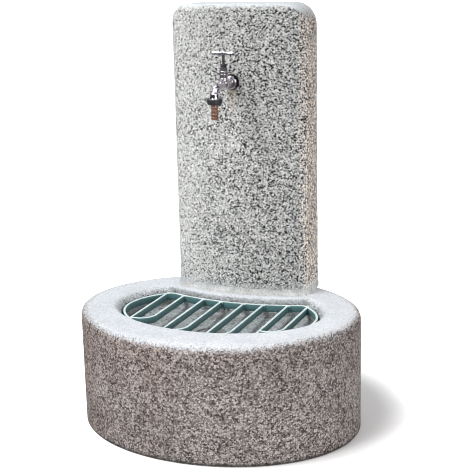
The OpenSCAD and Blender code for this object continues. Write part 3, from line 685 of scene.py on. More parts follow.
def grain_group():
    g, given, out = new_group(
        "metal_grain", [("Vector", "V"), ("Scale", "F"), ("Low", "F"), ("High", "F")],
        [("Roughness", "F"), ("Tone", "F"), ("Height", "F")])
    cloud = g.noise(given["Vector"], g.times(given["Scale"], 0.12), 4.0, 0.6)
    fine = g.noise(given["Vector"], given["Scale"], 5.0, 0.7)
    both = g.plus(g.times(cloud, 0.6), g.times(fine, 0.4))
    g.feed(out["Roughness"], g.span(both, 0.35, 0.65, given["Low"], given["High"]))
    g.feed(out["Tone"], g.step(cloud, 0.38, 0.64))
    g.feed(out["Height"], fine)
    return g.tree


edge_wear_and_sheen = edge_wear_and_sheen_group()
metal_grain = grain_group()
print("groups:", edge_wear_and_sheen.name, metal_grain.name)

# %% [markdown]
# ## Finish: the painted grate
# The flat bars were brushed with blue-green paint. The top edges are nearly white: feet and water have
# rubbed the paint there, and the white is also a painted highlight along the lit top. The sides keep the
# colour and are darker lower down. The change comes from the height on the bar, broken up by noise, with
# a few rust specks where the paint has gone.

# %% Grate paint
def painted_side(g, place, z):
    """Blue-green, darker lower down, with upright brush marks. It also gives the brush marks."""
    side = g.blend(g.step(z, band_lo.z, band_hi.z), (0.040, 0.105, 0.115), (0.115, 0.245, 0.255))
    brush = g.noise(g.vector("MULTIPLY", place, (1.0, 1.0, 7.0)), 55.0)
    return g.blend(g.step(brush, 0.40, 0.70), side, (0.090, 0.185, 0.190)), brush


def grate_paint():
    material, g, shader = new_material("grate_paint", roughness=0.5)
    place = g.place()
    z = g.split(place)["Z"]
    side, brush = painted_side(g, place, z)
    height = g.plus(z, g.times(patchy(g, place, 120.0, 4.0, 0.65), 2.2 * MM))
    # The top of each bar is near white: rubbed paint, and a painted highlight along the lit top.
    rubbed_and_lit_top = g.step(height, band_hi.z - 1.9 * MM, band_hi.z - 0.4 * MM)
    bright = g.blend(g.step(g.noise(place, 70.0), 0.4, 0.65), (0.62, 0.76, 0.77), (0.82, 0.90, 0.91))
    colour = g.blend(rubbed_and_lit_top, side, bright)
    bare = use_group(g, edge_wear_and_sheen, {"Vector": place, "Start": 0.57, "Patchiness": 0.16})["Mask"]
    colour = g.blend(g.times(bare, 0.7), colour, (0.62, 0.75, 0.75))
    speck = g.step(g.noise(place, 330.0, 2.0), 0.70, 0.76)
    colour = g.blend(g.times(speck, 0.6), colour, (0.20, 0.10, 0.055))
    g.feed(shader.inputs["Base Color"], colour)
    g.feed(shader.inputs["Roughness"], g.span(rubbed_and_lit_top, 0.0, 1.0, 0.42, 0.62))
    relief(g, shader, g.plus(g.noise(place, 260.0, 4.0), g.times(brush, 0.6)), 0.4 * MM)
    return material


materials["grate_paint"] = grate_paint()
print("made grate_paint")

# %% [markdown]
# ## Finish: metals
# Every metal here is the same idea with other values: a base colour, a duller tone that sits in clouds, a
# roughness that varies, and a lighter colour on worn edges, which on the copper is also a painted
# highlight. One function makes them all, so the brass of the nuts and the brass of the elbow match. The
# chrome also has painted shade: a black line where the rosette meets the column, a dull darker film close
# to it, and a dark tone on the handle's faces that look down.

# %% Metals
def painted_chrome_shade(g, place, colour, seam_y):
    """The colour with painted shade: black in the seam at the column, darker close to it, and on the handle's
    undersides.
    """
    _, y, z = g.split(place)
    y = g.plus(y, g.times(g.noise(place, 210.0), 2.5 * MM))
    # Painted shade close to the seam at the column, and black in the seam itself.
    seam_shade_film = g.times(g.step(y, seam_y - 6 * MM, seam_y - 4 * MM), 0.45)
    colour = g.blend(seam_shade_film, colour, (0.20, 0.19, 0.20))
    colour = g.blend(g.step(y, seam_y - 1.5 * MM, seam_y + 1 * MM), colour, (0.022, 0.020, 0.022))
    # Painted shade on the faces that look down, from just under the handle upwards.
    handle_and_up = g.step(z, handle_lo.z - 4 * MM, handle_lo.z - 2 * MM)
    underside_shade = g.times(g.step(g.facing_up(), -0.15, -0.55), handle_and_up)
    return g.blend(g.times(underside_shade, 0.85), colour, (0.10, 0.085, 0.11))


def add_metal(name, bright, dull, low, high, worn=None, start=0.56, bump=0.08 * MM, metallic=1.0,
              seam_y=None):
    material, g, shader = new_material(name, metallic=metallic, roughness=high)
    place = g.place()
    grain = use_group(g, metal_grain, {"Vector": place, "Scale": 420.0, "Low": low, "High": high})
    colour = g.blend(grain["Tone"], bright, dull)
    if worn:
        mask = use_group(g, edge_wear_and_sheen, {"Vector": place, "Start": start, "Patchiness": 0.10})["Mask"]
        colour = g.blend(g.times(mask, 0.8), colour, worn)
    if seam_y:
        colour = painted_chrome_shade(g, place, colour, seam_y)
    g.feed(shader.inputs["Base Color"], colour)
    g.feed(shader.inputs["Roughness"], grain["Roughness"])
    relief(g, shader, grain["Height"], bump)
    materials[name] = material


add_metal("chrome", (0.86, 0.82, 0.88), (0.70, 0.66, 0.72), 0.05, 0.16, worn=(0.90, 0.88, 0.90),
          seam_y=column_lo.y - 8 * MM)
add_metal("stainless", (0.62, 0.61, 0.60), (0.46, 0.45, 0.44), 0.24, 0.42)
add_metal("brass", (0.66, 0.47, 0.20), (0.42, 0.29, 0.13), 0.26, 0.46, worn=(0.80, 0.62, 0.32))
# Copper: the pale edge colour marks wear, and is also a painted highlight along the barbs' crests.
add_metal("copper", (0.84, 0.53, 0.40), (0.48, 0.28, 0.20), 0.17, 0.36, worn=(0.99, 0.83, 0.72), start=0.535)
add_metal("dark_metal", (0.105, 0.105, 0.11), (0.055, 0.055, 0.058), 0.34, 0.55, worn=(0.36, 0.35, 0.34),
          metallic=0.75)
add_metal("plain_steel", (0.30, 0.27, 0.25), (0.20, 0.11, 0.07), 0.45, 0.80, bump=0.2 * MM)
print("made", list(materials))

# %% [markdown]
# ## Finish: plastics, rubber and fibre
# The waste pipe is grey plastic with scuffs and a fine moulded grain, the clips are a darker plastic, and
# the seals are rubber or pressed fibre. They share a function with a broad tone, a fine grain and dust.

# %% Plastics and seals
def add_soft(name, colour, faded, low, high, scale, bump, dust=0.25):
    material, g, shader = new_material(name, roughness=high)
    place = g.place()
    grain = use_group(g, metal_grain, {"Vector": place, "Scale": scale, "Low": low, "High": high})
    made = g.blend(grain["Tone"], colour, faded)
    settled = g.times(g.step(g.noise(place, 48.0, 5.0, 0.7), 0.48, 0.70), dust)
    g.feed(shader.inputs["Base Color"], g.blend(settled, made, (0.44, 0.42, 0.38)))
    g.feed(shader.inputs["Roughness"], grain["Roughness"])
    relief(g, shader, grain["Height"], bump)
    materials[name] = material


add_soft("grey_plastic", (0.30, 0.31, 0.33), (0.38, 0.39, 0.40), 0.38, 0.60, 900.0, 0.08 * MM)
add_soft("dark_plastic", (0.045, 0.047, 0.05), (0.085, 0.087, 0.09), 0.42, 0.62, 900.0, 0.10 * MM)
add_soft("black_rubber", (0.022, 0.022, 0.023), (0.05, 0.05, 0.05), 0.60, 0.85, 700.0, 0.12 * MM)
add_soft("fibre", (0.075, 0.040, 0.035), (0.13, 0.07, 0.055), 0.70, 0.90, 1400.0, 0.15 * MM, dust=0.1)
print("finishes:", len(materials))

# %% [markdown]
# ## Mesh helpers
# Most pieces here are made in one of three ways, and small plain ones keep their CAD shape with eased edges.
#
# - A loft joins closed rings of points, one above the other. It suits the basin, whose outline changes
#   from the foot to the rim and then down into the bowl.
# - A lathe turns a profile round an axis. It suits the rosette, the nut and the hose tail.
# - A recast copies a CAD solid and rebuilds its skin from small voxels, and smoothing then rounds every
#   edge and fillets every inner corner, as on a real casting. A foot that stands on something keeps its
#   sharp edge, because it is first made longer and then trimmed.

# %% Join points into objects
def as_object(name, points, faces, smooth_angle=35.0):
    mesh = bpy.data.meshes.new(name)
    mesh.from_pydata([tuple(p) for p in points], [], faces)
    mesh.update()
    obj = bpy.data.objects.new(name, mesh)
    bpy.context.collection.objects.link(obj)
    tidy_skin(obj, smooth_angle)
    return obj


def tidy_skin(obj, smooth_angle=35.0, weld=None):
    """Merges doubled points, turns every face outwards, and shades it smooth except over sharp edges."""
    bm = bmesh.new()
    bm.from_mesh(obj.data)
    if weld:
        bmesh.ops.remove_doubles(bm, verts=bm.verts, dist=weld)
    bmesh.ops.recalc_face_normals(bm, faces=bm.faces)
    limit = math.radians(smooth_angle)
    for face in bm.faces:
        face.smooth = True
    for edge in bm.edges:
        edge.smooth = not (len(edge.link_faces) == 2 and edge.calc_face_angle(0.0) > limit)
    bm.to_mesh(obj.data)
    bm.free()
    obj.data.update()


def apply_all(obj):
    """Bakes the object's modifiers into its mesh."""
    seen = obj.evaluated_get(bpy.context.evaluated_depsgraph_get())
    mesh = bpy.data.meshes.new_from_object(seen)
    obj.modifiers.clear()
    obj.data = mesh
    return obj


print("object helpers ready")

# %% Finish a piece
def finish_piece(obj, slot, body, *replaced):
    obj.data.materials.clear()
    obj.data.materials.append(materials[slot])
    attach(obj, body)
    if replaced:
        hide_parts(*replaced)
    triangles = sum(len(p.vertices) - 2 for p in obj.data.polygons)
    print(f"{obj.name}: {triangles} triangles on {body}")
    return obj


print("finish helper ready")

# %% Cut holes
def box_points(lo, hi):
    points = [(x, y, z) for x in (lo[0], hi[0]) for y in (lo[1], hi[1]) for z in (lo[2], hi[2])]
    return points, [(0, 1, 3, 2), (4, 6, 7, 5), (0, 4, 5, 1), (2, 3, 7, 6), (0, 2, 6, 4), (1, 5, 7, 3)]


def rod_points(start, end, radius, sides=32):
    start, end = Vector(start), Vector(end)
    turn = (end - start).to_track_quat("Z", "Y")
    circle = [turn @ Vector((radius * math.cos(a), radius * math.sin(a), 0)) for a in
              (2 * math.pi * k / sides for k in range(sides))]
    points = [p + start for p in circle] + [p + end for p in circle]
    walls = [(k, (k + 1) % sides, sides + (k + 1) % sides, sides + k) for k in range(sides)]
    return points, walls + [tuple(range(sides - 1, -1, -1)), tuple(range(sides, 2 * sides))]


def cut(obj, shapes):
    """Takes each of the shapes, a list of (points, faces), out of the object."""
    cutters = []
    for points, faces in shapes:
        cutter = as_object("cutter", points, faces)
        boolean = obj.modifiers.new("cut", "BOOLEAN")
        boolean.operation = "DIFFERENCE"
        boolean.solver = "EXACT"
        boolean.object = cutter
        cutters.append(cutter)
    apply_all(obj)
    for cutter in cutters:
        bpy.data.objects.remove(cutter, do_unlink=True)
    return obj


print("cutting helpers ready")

# %% Copy and trim CAD shapes
def copy_node(node, name):
    obj = bpy.data.objects.new(name, cad_nodes[node].data.copy())
    bpy.context.collection.objects.link(obj)
    obj.data.materials.clear()
    tidy_skin(obj, weld=2e-6)
    return obj


def trim_foot(obj, foot):
    """Cuts everything below a height away and closes the cut with one flat face."""
    bm = bmesh.new()
    bm.from_mesh(obj.data)
    every = list(bm.verts) + list(bm.edges) + list(bm.faces)
    bmesh.ops.bisect_plane(bm, geom=every, plane_co=(0, 0, foot), plane_no=(0, 0, -1), clear_outer=True)
    rim = [edge for edge in bm.edges if edge.is_boundary]
    bmesh.ops.holes_fill(bm, edges=rim, sides=0)
    bm.to_mesh(obj.data)
    bm.free()


print("copy helpers ready")

# %% Recast and ease CAD shapes
def fused(obj, voxel, passes):
    """Rebuilds the skin from voxels, so that all that overlaps becomes one, and smooths it."""
    remesh = obj.modifiers.new("voxels", "REMESH")
    remesh.mode = "VOXEL"
    remesh.voxel_size = voxel
    smooth = obj.modifiers.new("smooth", "SMOOTH")
    smooth.factor = 0.5
    smooth.iterations = passes
    return apply_all(obj)


def recast(node, name, voxel, passes=4, foot=None):
    """A CAD solid with its skin rebuilt from voxels and smoothed, so that it looks cast."""
    obj = copy_node(node, name)
    if foot is not None:
        for vertex in obj.data.vertices:
            if vertex.co.z < foot + 0.1 * MM:
                vertex.co.z -= 12 * MM
    fused(obj, voxel, passes)
    if foot is not None:
        trim_foot(obj, foot)
    tidy_skin(obj, smooth_angle=70.0)
    return obj


def eased(node, name, width):
    """A CAD solid whose sharp edges are rounded by a small bevel."""
    obj = copy_node(node, name)
    bevel = obj.modifiers.new("ease", "BEVEL")
    bevel.limit_method = "ANGLE"
    bevel.angle_limit = math.radians(32.0)
    bevel.width = width
    bevel.segments = 2
    bevel.use_clamp_overlap = True
    apply_all(obj)
    tidy_skin(obj, smooth_angle=40.0)
    return obj


print("recast helpers ready")

# %% Loft
def loft(name, rings, smooth_angle=35.0, closed=True):
    """Joins rings that have the same number of points. If closed, the last ring joins the first."""
    count = len(rings[0])
    points = np.concatenate([np.asarray(ring, float) for ring in rings])
    faces = []
    for level in range(len(rings) - (0 if closed else 1)):
        here, there = level * count, (level + 1) % len(rings) * count
        after = [(k + 1) % count for k in range(count)]
        faces += [(here + k, here + after[k], there + after[k], there + k) for k in range(count)]
    if not closed:
        faces.append(tuple(range(count - 1, -1, -1)))
        faces.append(tuple((len(rings) - 1) * count + k for k in range(count)))
    return as_object(name, points, faces, smooth_angle)


print("loft ready")

# %% Round a path
def rounded_path(corners, spacing, steps=4):
    """A path through corners, each (point, rounding), as a list of points. It works on whole rings too:
    every sample of the ring is rounded on its own. A third value sets the spacing after that corner."""
    pts = [np.asarray(c[0], float) for c in corners]
    out, steps_apart = [], []
    for k, (_, rounding, *wider) in enumerate(corners):
        here, before, after = pts[k], pts[k - 1], pts[(k + 1) % len(pts)]
        if rounding:
            to_before = before - here
            to_after = after - here
            len_b = np.linalg.norm(to_before, axis=-1, keepdims=True) + 1e-12
            len_a = np.linalg.norm(to_after, axis=-1, keepdims=True) + 1e-12
            p0 = here + to_before * np.minimum(rounding / len_b, 0.45)
            p2 = here + to_after * np.minimum(rounding / len_a, 0.45)
            for s in range(steps + 1):
                t = s / steps
                out.append((1 - t) ** 2 * p0 + 2 * t * (1 - t) * here + t * t * p2)
        else:
            out.append(here)
        steps_apart += [spacing] * (len(out) - len(steps_apart) - 1) + [wider[0] if wider else spacing]
    filled = []
    for k, ring in enumerate(out):
        after = out[(k + 1) % len(out)]
        gap = float(np.mean(np.linalg.norm(after - ring, axis=-1)))
        parts = max(1, int(round(gap / steps_apart[k])))
        filled += [ring + (after - ring) * (j / parts) for j in range(parts)]
    return filled


print("rounding ready")

# %% Lathe
def lathe(name, profile, origin, direction, sides=96, smooth_angle=35.0, closed=True):
    """Turns (radius, height) points round an axis. A closed profile makes a ring, such as a nut."""
    turn = Vector(direction).to_track_quat("Z", "Y").to_matrix()
    rings = []
    for radius, height in profile:
        circle = [turn @ Vector((radius * math.cos(a), radius * math.sin(a), height)) + Vector(origin)
                  for a in (2 * math.pi * k / sides for k in range(sides))]
        rings.append(np.array(circle))
    return loft(name, rings, smooth_angle, closed)


def rounded_profile(corners, spacing=1.2 * MM, steps=4):
    """The same rounding for a lathe's profile, given as (radius, height, rounding)."""
    return [tuple(p) for p in rounded_path([((r, h), e) for r, h, e in corners], spacing, steps)]


def turned(name, corners, origin, direction, sides=96, smooth_angle=40.0, spacing=1 * MM, steps=4):
    """A lathe piece with its corners (radius, height, rounding) in millimetres."""
    corners = [(max(r, 0.0005) * MM, h * MM, e * MM) for r, h, e in corners]
    return lathe(name, rounded_profile(corners, spacing, steps), origin, direction, sides, smooth_angle)


print("lathe ready")

# %% [markdown]
# ## Weathering a casting
# A cast or trowelled surface is never quite flat. Each point of a casting moves in along its normal by a
# few tenths of a millimetre of broad noise, and a little more where a chip has come off. Points only move
# inwards, so the casting never grows past its CAD size, and the flat faces that meet the ground or the
# wall keep their plane.

# %% Weather the points
def weather(obj, broad, fine, chips=0.0, chip_where=None, keep=None):
    mesh = obj.data
    normals = [v.normal.copy() for v in mesh.vertices]
    moved = 0
    for vertex, normal in zip(mesh.vertices, normals):
        p = vertex.co
        if keep and keep(p):
            continue
        inward = broad * (0.5 + 0.5 * noise.noise(p * 24.0)) + fine * (0.5 + 0.5 * noise.noise(p * 150.0))
        if chips and chip_where(p):
            inward += chips * max(0.0, noise.noise(p * 62.0 + Vector((7.1, 3.3, 1.7))) - 0.22)
        vertex.co = p - normal * inward
        moved += 1
    mesh.update()
    return moved


print("weathering ready")

# %% [markdown]
# ## The basin
# On the real object this is one heavy casting: an oval wall with a rounded, trowelled rim, a sloping lip,
# a recess whose ledge carries the grate, and a shallow pan that falls to the drain. Underneath it is
# hollow, and a channel runs down its flat back. Every outline is an oval on the same middle, cut by the
# flat back or by an arc round the column, and each can be seen whole from the drain. So each ring is
# found by looking outwards from the drain in every direction, and all rings line up for a loft.

# %% Outlines seen from the drain
SAMPLES = 480
look = np.linspace(0.0, 2.0 * np.pi, SAMPLES, endpoint=False)
look_x, look_y = np.cos(look), np.sin(look)
eye = np.array([0.0, drain_y])


def to_oval(a, b):
    """How far each look goes before it meets the oval."""
    dy = eye[1] - oval_y
    qa = (look_x / a) ** 2 + (look_y / b) ** 2
    qb = 2.0 * look_y * dy / b**2
    qc = (dy / b) ** 2 - 1.0
    return (-qb + np.sqrt(qb**2 - 4.0 * qa * qc)) / (2.0 * qa)


def to_line(y):
    """How far each look goes before it meets a line across the back."""
    return np.where(look_y > 1e-6, (y - eye[1]) / np.maximum(look_y, 1e-6), 99.0)


def to_arc(radius):
    """How far each look goes before it meets the arc round the column."""
    d = arc_y - eye[1]
    inside = (look_y * d) ** 2 - (d**2 - radius**2)
    near = look_y * d - np.sqrt(np.maximum(inside, 0.0))
    return np.where((inside > 0) & (look_y > 0), near, 99.0)


def softened(reach, reach_mm):
    """Rounds an outline's corners by averaging neighbouring looks."""
    half = int(round(reach_mm * MM / (0.25 * 2 * np.pi / SAMPLES)))
    if half < 1:
        return reach
    window = np.hanning(2 * half + 3)[1:-1]
    padded = np.concatenate([reach[-half:], reach, reach[:half]])
    return np.convolve(padded, window / window.sum(), "valid")


def ring(reach, z):
    """Points at that distance in every look. z is a height or one height for each look."""
    heights = np.broadcast_to(z, reach.shape)
    return np.stack([eye[0] + reach * look_x, eye[1] + reach * look_y, heights], axis=-1)


print("looks:", SAMPLES, "widest oval reach:", round(float(to_oval(0.3, 0.24).max()), 3))

# %% Outlines of the basin
recess = (215 * MM, 151.2 * MM)
inner = (207 * MM, 143.2 * MM)
band_arc, inner_arc = 449 * MM, 454 * MM
ledge_z = band_lo.z
grate_z = band_hi.z
hollow_z = 155 * MM
pan_back_z = 210 * MM
pan_fall = math.tan(math.radians(2.386))
pan_back_y = arc_y - recess_arc
pocket_radius, shaft_radius = 36 * MM, 21 * MM


def outer(inset):
    return softened(np.minimum(to_oval(half_w - inset, half_d - inset), to_line(back_y)), 2.0)


def bowl(a, b, arc, corner=5.0):
    return softened(np.minimum(to_oval(a, b), to_arc(arc)), corner)


def pan_z(reach):
    return pan_back_z - (pan_back_y - (eye[1] + reach * look_y)) * pan_fall


print("pan at the drain:", round(pan_back_z - (pan_back_y - drain_y) * pan_fall, 4))

# %% Loft the basin
def build_basin():
    mouth = bowl(*opening, recess_arc)
    well = bowl(*recess, recess_arc)
    pan = bowl(*inner, inner_arc)
    pocket = np.full(SAMPLES, pocket_radius)
    shaft = np.full(SAMPLES, shaft_radius)
    seat_z = strainer_lo.z - 3.5 * MM
    under = np.minimum(to_oval(*hollow), to_line(back_y - wall))
    corners = [
        (ring(outer(4 * MM), 0.0), 0.0),
        (ring(outer(0.0), 4 * MM), 2 * MM, 4.4 * MM),
        (ring(outer(0.0), rim_z), 16 * MM),
        (ring(mouth, rim_z), 6.5 * MM),
        (ring(well, grate_z - 1 * MM), 4 * MM),
        (ring(well, ledge_z), 1.0 * MM),
        (ring(pan, ledge_z), 1.5 * MM),
        (ring(pan, pan_z(pan)), 3 * MM, 6 * MM),
        (ring(pocket, pan_z(pocket) + 0.2 * MM), 1.5 * MM, 12 * MM),
        (ring(pocket, seat_z), 0.0),
        (ring(shaft, seat_z), 0.0, 15 * MM),
        (ring(shaft, hollow_z), 1.5 * MM, 15 * MM),
        (ring(under, hollow_z), 6 * MM, 15 * MM),
        (ring(under, 0.0), 2 * MM, 15 * MM),
    ]
    return loft("basin_casting", rounded_path(corners, spacing=4 * MM, steps=5), smooth_angle=50.0)


basin = build_basin()
print("basin points:", len(basin.data.vertices))

# %% Cut the channel and the dowel holes
def dowel_hole(x, y=167 * MM, bottom=193 * MM, top=260 * MM, radius=9 * MM):
    return rod_points((x, y, bottom), (x, y, top), radius)


def channel_cuts(past=20 * MM):
    """An upright channel in the back, and a deeper room for the fitting at its foot."""
    front_y = back_y - channel_depth
    room_y, room_top = back_y - room_depth, 90 * MM
    return [box_points((-channel_half, front_y, -past), (channel_half, back_y + past, rim_z + past)),
            box_points((-channel_half, room_y, -past), (channel_half, front_y + past, room_top))]


cut(basin, [*channel_cuts(), dowel_hole(-95 * MM), dowel_hole(95 * MM)])
print("basin points with its cuts:", len(basin.data.vertices))

# %% Weather the basin
def on_the_rim(p):
    outwards = (p.x / half_w) ** 2 + ((p.y - oval_y) / half_d) ** 2
    return p.z > rim_z - 13 * MM and outwards > 0.90


def basin_keeps(p):
    """The foot, the back, the channel and the drain's pocket keep their shape."""
    foot_or_back = p.z < 0.5 * MM or p.y > back_y - 0.3 * MM
    in_channel = abs(p.x) < channel_half + 0.2 * MM and p.y > back_y - room_depth - 2 * MM
    at_drain = abs(p.x) < pocket_radius + 1 * MM and abs(p.y - drain_y) < pocket_radius + 1 * MM
    return foot_or_back or in_channel or at_drain


moved = weather(basin, broad=0.5 * MM, fine=0.35 * MM, chips=4 * MM, chip_where=on_the_rim, keep=basin_keeps)
tidy_skin(basin, smooth_angle=50.0)
finish_piece(basin, "basin_concrete", "root", "basin")
print("points weathered:", moved)

# %% [markdown]
# ## The column
# The column is a slab with a bowed front, rounded upright corners and large round shoulders. Its top edges
# were rubbed over while the concrete was soft. A recast of the CAD solid keeps the pipe channel and its
# holes, and extra smoothing near the top then gives the soft edge that a plain bevel wouldn't: it fades
# out downwards, as it does on the real casting.

# %% Recast the column
def build_column():
    column = recast("column", "column_casting", voxel=2.9 * MM, passes=3, foot=column_lo.z)
    group = column.vertex_groups.new(name="rubbed_top")
    shoulder_z = column_hi.z - 46 * MM
    for vertex in column.data.vertices:
        p = vertex.co
        near_top = min(1.0, max(0.0, (p.z - shoulder_z) / (20 * MM)))
        if near_top > 0 and p.y < back_y - 4 * MM:
            group.add([vertex.index], near_top, "REPLACE")
    rub = column.modifiers.new("rub", "SMOOTH")
    rub.vertex_group = "rubbed_top"
    rub.factor = 0.5
    rub.iterations = 26
    apply_all(column)
    return column


column = build_column()


def column_keeps(p):
    in_channel = abs(p.x) < channel_half + 1 * MM and p.y > 160 * MM
    return p.z < column_lo.z + 1 * MM or p.y > back_y - 0.6 * MM or in_channel


moved = weather(column, broad=0.55 * MM, fine=0.35 * MM, keep=column_keeps)
tidy_skin(column, smooth_angle=60.0)
finish_piece(column, "column_concrete", "root", "column")
print("points weathered:", moved, "top", round(max(v.co.z for v in column.data.vertices), 4))

# %% [markdown]
# ## The mortar bed
# The column stands in mortar that was pressed out at its foot and smoothed with a finger, so it forms a
# hollow fillet and not a step. It is a loft whose outline follows the column's plan, grown outwards by
# less and less with height. A little noise makes its edge wander, as hand work does.

# %% Plan of the column
def arc_points(cx, cy, radius, start, end, count):
    return [(cx + radius * math.cos(a), cy + radius * math.sin(a)) for a in np.linspace(start, end, count)]


def column_plan(grow, samples=40):
    """Points round the column's plan, grown outwards, from the back left corner round the front."""
    w = (column_hi.x - column_lo.x) / 2
    corner = 27 * MM
    cx = w - corner
    cy = arc_y - math.sqrt((face_radius - corner) ** 2 - cx * cx)
    turn = math.atan2(cx, arc_y - cy)
    front_left, front_right = 1.5 * math.pi - turn, 1.5 * math.pi + turn
    plan = [(-w - grow, back_y + (cy - back_y) * k / 12) for k in range(12)]
    plan += arc_points(-cx, cy, corner + grow, math.pi, front_left, 12)
    plan += arc_points(0.0, arc_y, face_radius + grow, front_left, front_right, samples)[1:-1]
    plan += arc_points(cx, cy, corner + grow, front_right, 2 * math.pi, 12)
    plan += [(w + grow, cy + (back_y - cy) * k / 12) for k in range(1, 13)]
    return plan


print("plan points:", len(column_plan(0.0)))

# %% Build the mortar
def build_mortar():
    """A fillet from wide at the deck to tight at the column. It dies away towards the back corners."""
    half, inner_y = channel_half, back_y - channel_depth
    back = [(150 * MM, back_y), (half, back_y), (half, inner_y)]
    back += [(-x, y) for x, y in reversed(back)]
    low, high = rim_z - 0.3 * MM, column_lo.z + 5 * MM
    bed_top = column_lo.z - 0.05 * MM
    tight, wide = column_plan(0.30 * MM, samples=150), column_plan(8.3 * MM, samples=150)
    rings, steps = [], 14
    for k in range(steps + 1):
        t = k / steps
        level = []
        for (x0, y0), (x1, y1) in zip(tight, wide):
            wander = noise.noise(Vector((x1 * 55, y1 * 55, 3.0)))
            pressed = min(1.0, max(0.0, (back_y - y0) / (150 * MM))) ** 0.8
            spread = (1 - t) ** 2.4 * pressed * (1 + 0.2 * wander)
            x, y = x0 + (x1 - x0) * spread, y0 + (y1 - y0) * spread
            level.append((x, min(y, back_y), low + (high - low) * t + 0.5 * MM * wander * t))
        rings.append(level + [(x, y, min(low + (high - low) * t, bed_top)) for x, y in back])
    for grow, z in ((-1.2 * MM, high - 3 * MM), (-4 * MM, bed_top)):
        rings.append([(x, y, z) for x, y in column_plan(grow, samples=150)])
        rings[-1] += [(x, y, bed_top) for x, y in back]
    return loft("mortar_fillet", rings, smooth_angle=50.0, closed=False)


mortar_bed = build_mortar()
tidy_skin(mortar_bed, smooth_angle=50.0)
finish_piece(mortar_bed, "mortar", "root", "mortar_bed")

# %% [markdown]
# ## The grate
# The grate is welded from flat bar: a band bent to the bowl's outline, and four hairpins whose right leg
# is bent over to meet the left. The bar's edges were rolled slightly round, and the welder left a small
# lump of metal at each joint, which the paint covers. The band is a loft of the bowl's own outlines. Each
# leg is a rounded section swept along its path.

# %% Build the band
def build_band():
    outside = bowl(212 * MM, 148.2 * MM, band_arc, corner=6.0)
    inside = bowl(*inner, inner_arc, corner=7.0)
    corners = [(ring(outside, ledge_z), 0.9 * MM), (ring(outside, grate_z), 0.9 * MM),
               (ring(inside, grate_z), 0.9 * MM), (ring(inside, ledge_z), 0.9 * MM)]
    return loft("band_bar", rounded_path(corners, spacing=5 * MM, steps=4), smooth_angle=60.0)


band = build_band()
weather(band, broad=0.12 * MM, fine=0.15 * MM)
finish_piece(band, "grate_paint", "grate", "grate_band")

# %% Sweep a flat bar
def bar_section(thickness, depth, ease, steps=4):
    """Corner points of a bar's rounded section, as (across, down)."""
    points = []
    for sx, sz, start in ((1, 0, 0), (-1, 0, 90), (-1, -1, 180), (1, -1, 270)):
        cx = sx * (thickness / 2 - ease)
        cz = -ease if sz == 0 else -depth + ease
        for k in range(steps + 1):
            a = math.radians(start + 90 * k / steps)
            points.append((cx + ease * math.cos(a), cz + ease * math.sin(a)))
    return points


def sweep_bar(name, path, thickness, depth, top_z, ease=0.9 * MM):
    section = bar_section(thickness, depth, ease)
    rings = []
    for k, point in enumerate(path):
        before, after = path[max(k - 1, 0)], path[min(k + 1, len(path) - 1)]
        along = (Vector(after) - Vector(before)).normalized()
        side = Vector((along.y, -along.x))
        rings.append([(point[0] + side.x * c, point[1] + side.y * c, top_z + d) for c, d in section])
    return loft(name, rings, smooth_angle=60.0, closed=False)


def joined(name, parts):
    """Makes one object of several."""
    chosen = {"active_object": parts[0], "selected_editable_objects": parts, "selected_objects": parts}
    with bpy.context.temp_override(**chosen):
        bpy.ops.object.join()
    parts[0].name = name
    return parts[0]


print("section points:", len(bar_section(5 * MM, 15 * MM, 0.9 * MM)))

# %% Build the hairpins
BAR = 5 * MM
DEPTH = grate_z - ledge_z
PITCH, GAP, BEND = 95 * MM, 43 * MM, 30 * MM


def band_front(x):
    return oval_y - inner[1] * math.sqrt(1 - (x / inner[0]) ** 2)


def band_back(x):
    return arc_y - math.sqrt(inner_arc**2 - x * x)


def straight(x0, y0, x1, y1, step=4 * MM):
    n = max(2, int(math.hypot(x1 - x0, y1 - y0) / step))
    return [(x0 + (x1 - x0) * k / n, y0 + (y1 - y0) * k / n) for k in range(n + 1)]


def build_hairpin(k):
    left = (k - 1.5) * PITCH - GAP / 2
    right = left + GAP
    turn_y = band_front(max(abs(left), abs(right))) + BAR / 2 + 0.2 * MM
    into = 1.5 * MM
    leg = straight(left, band_front(left) - into, left, band_back(left) + into)
    bend = arc_points(right - BEND, turn_y + BEND, BEND, -0.5 * math.pi, 0.0, 14)
    path = straight(left, turn_y, right - BEND, turn_y)[:-1] + bend
    path += straight(right, turn_y + BEND, right, band_back(right) + into)[1:]
    parts = [sweep_bar("left_leg", leg, BAR, DEPTH - 0.1 * MM, grate_z - 0.05 * MM),
             sweep_bar("right_leg", path, BAR, DEPTH - 0.3 * MM, grate_z - 0.12 * MM)]
    hairpin = joined(f"hairpin_{k + 1}", parts)
    weather(hairpin, broad=0.10 * MM, fine=0.14 * MM)
    finish_piece(hairpin, "grate_paint", "grate", f"grate_hairpin_{k + 1}")
    return left, right, turn_y


legs = [build_hairpin(k) for k in range(4)]
print("legs at", [round(v / MM, 1) for pair in legs for v in pair[:2]], "mm")

# %% Build the weld beads
def bead(centre, size, seed):
    """A lump of weld metal: a ball of points pushed about by noise, then flattened."""
    bm = bmesh.new()
    bmesh.ops.create_icosphere(bm, subdivisions=3, radius=1.0)
    for vertex in bm.verts:
        p = vertex.co.copy()
        lump = 1.0 + 0.38 * noise.noise(p * 1.9 + Vector((seed * 3.7, seed * 1.3, seed * 5.1)))
        lump += 0.10 * noise.noise(p * 6.0 + Vector((seed, 0, 0)))
        vertex.co = Vector((p.x * size[0], p.y * size[1], p.z * size[2])) * lump + Vector(centre)
    faces = [tuple(v.index for v in f.verts) for f in bm.faces]
    points = [tuple(v.co) for v in bm.verts]
    bm.free()
    return as_object("bead", points, faces, 80.0)


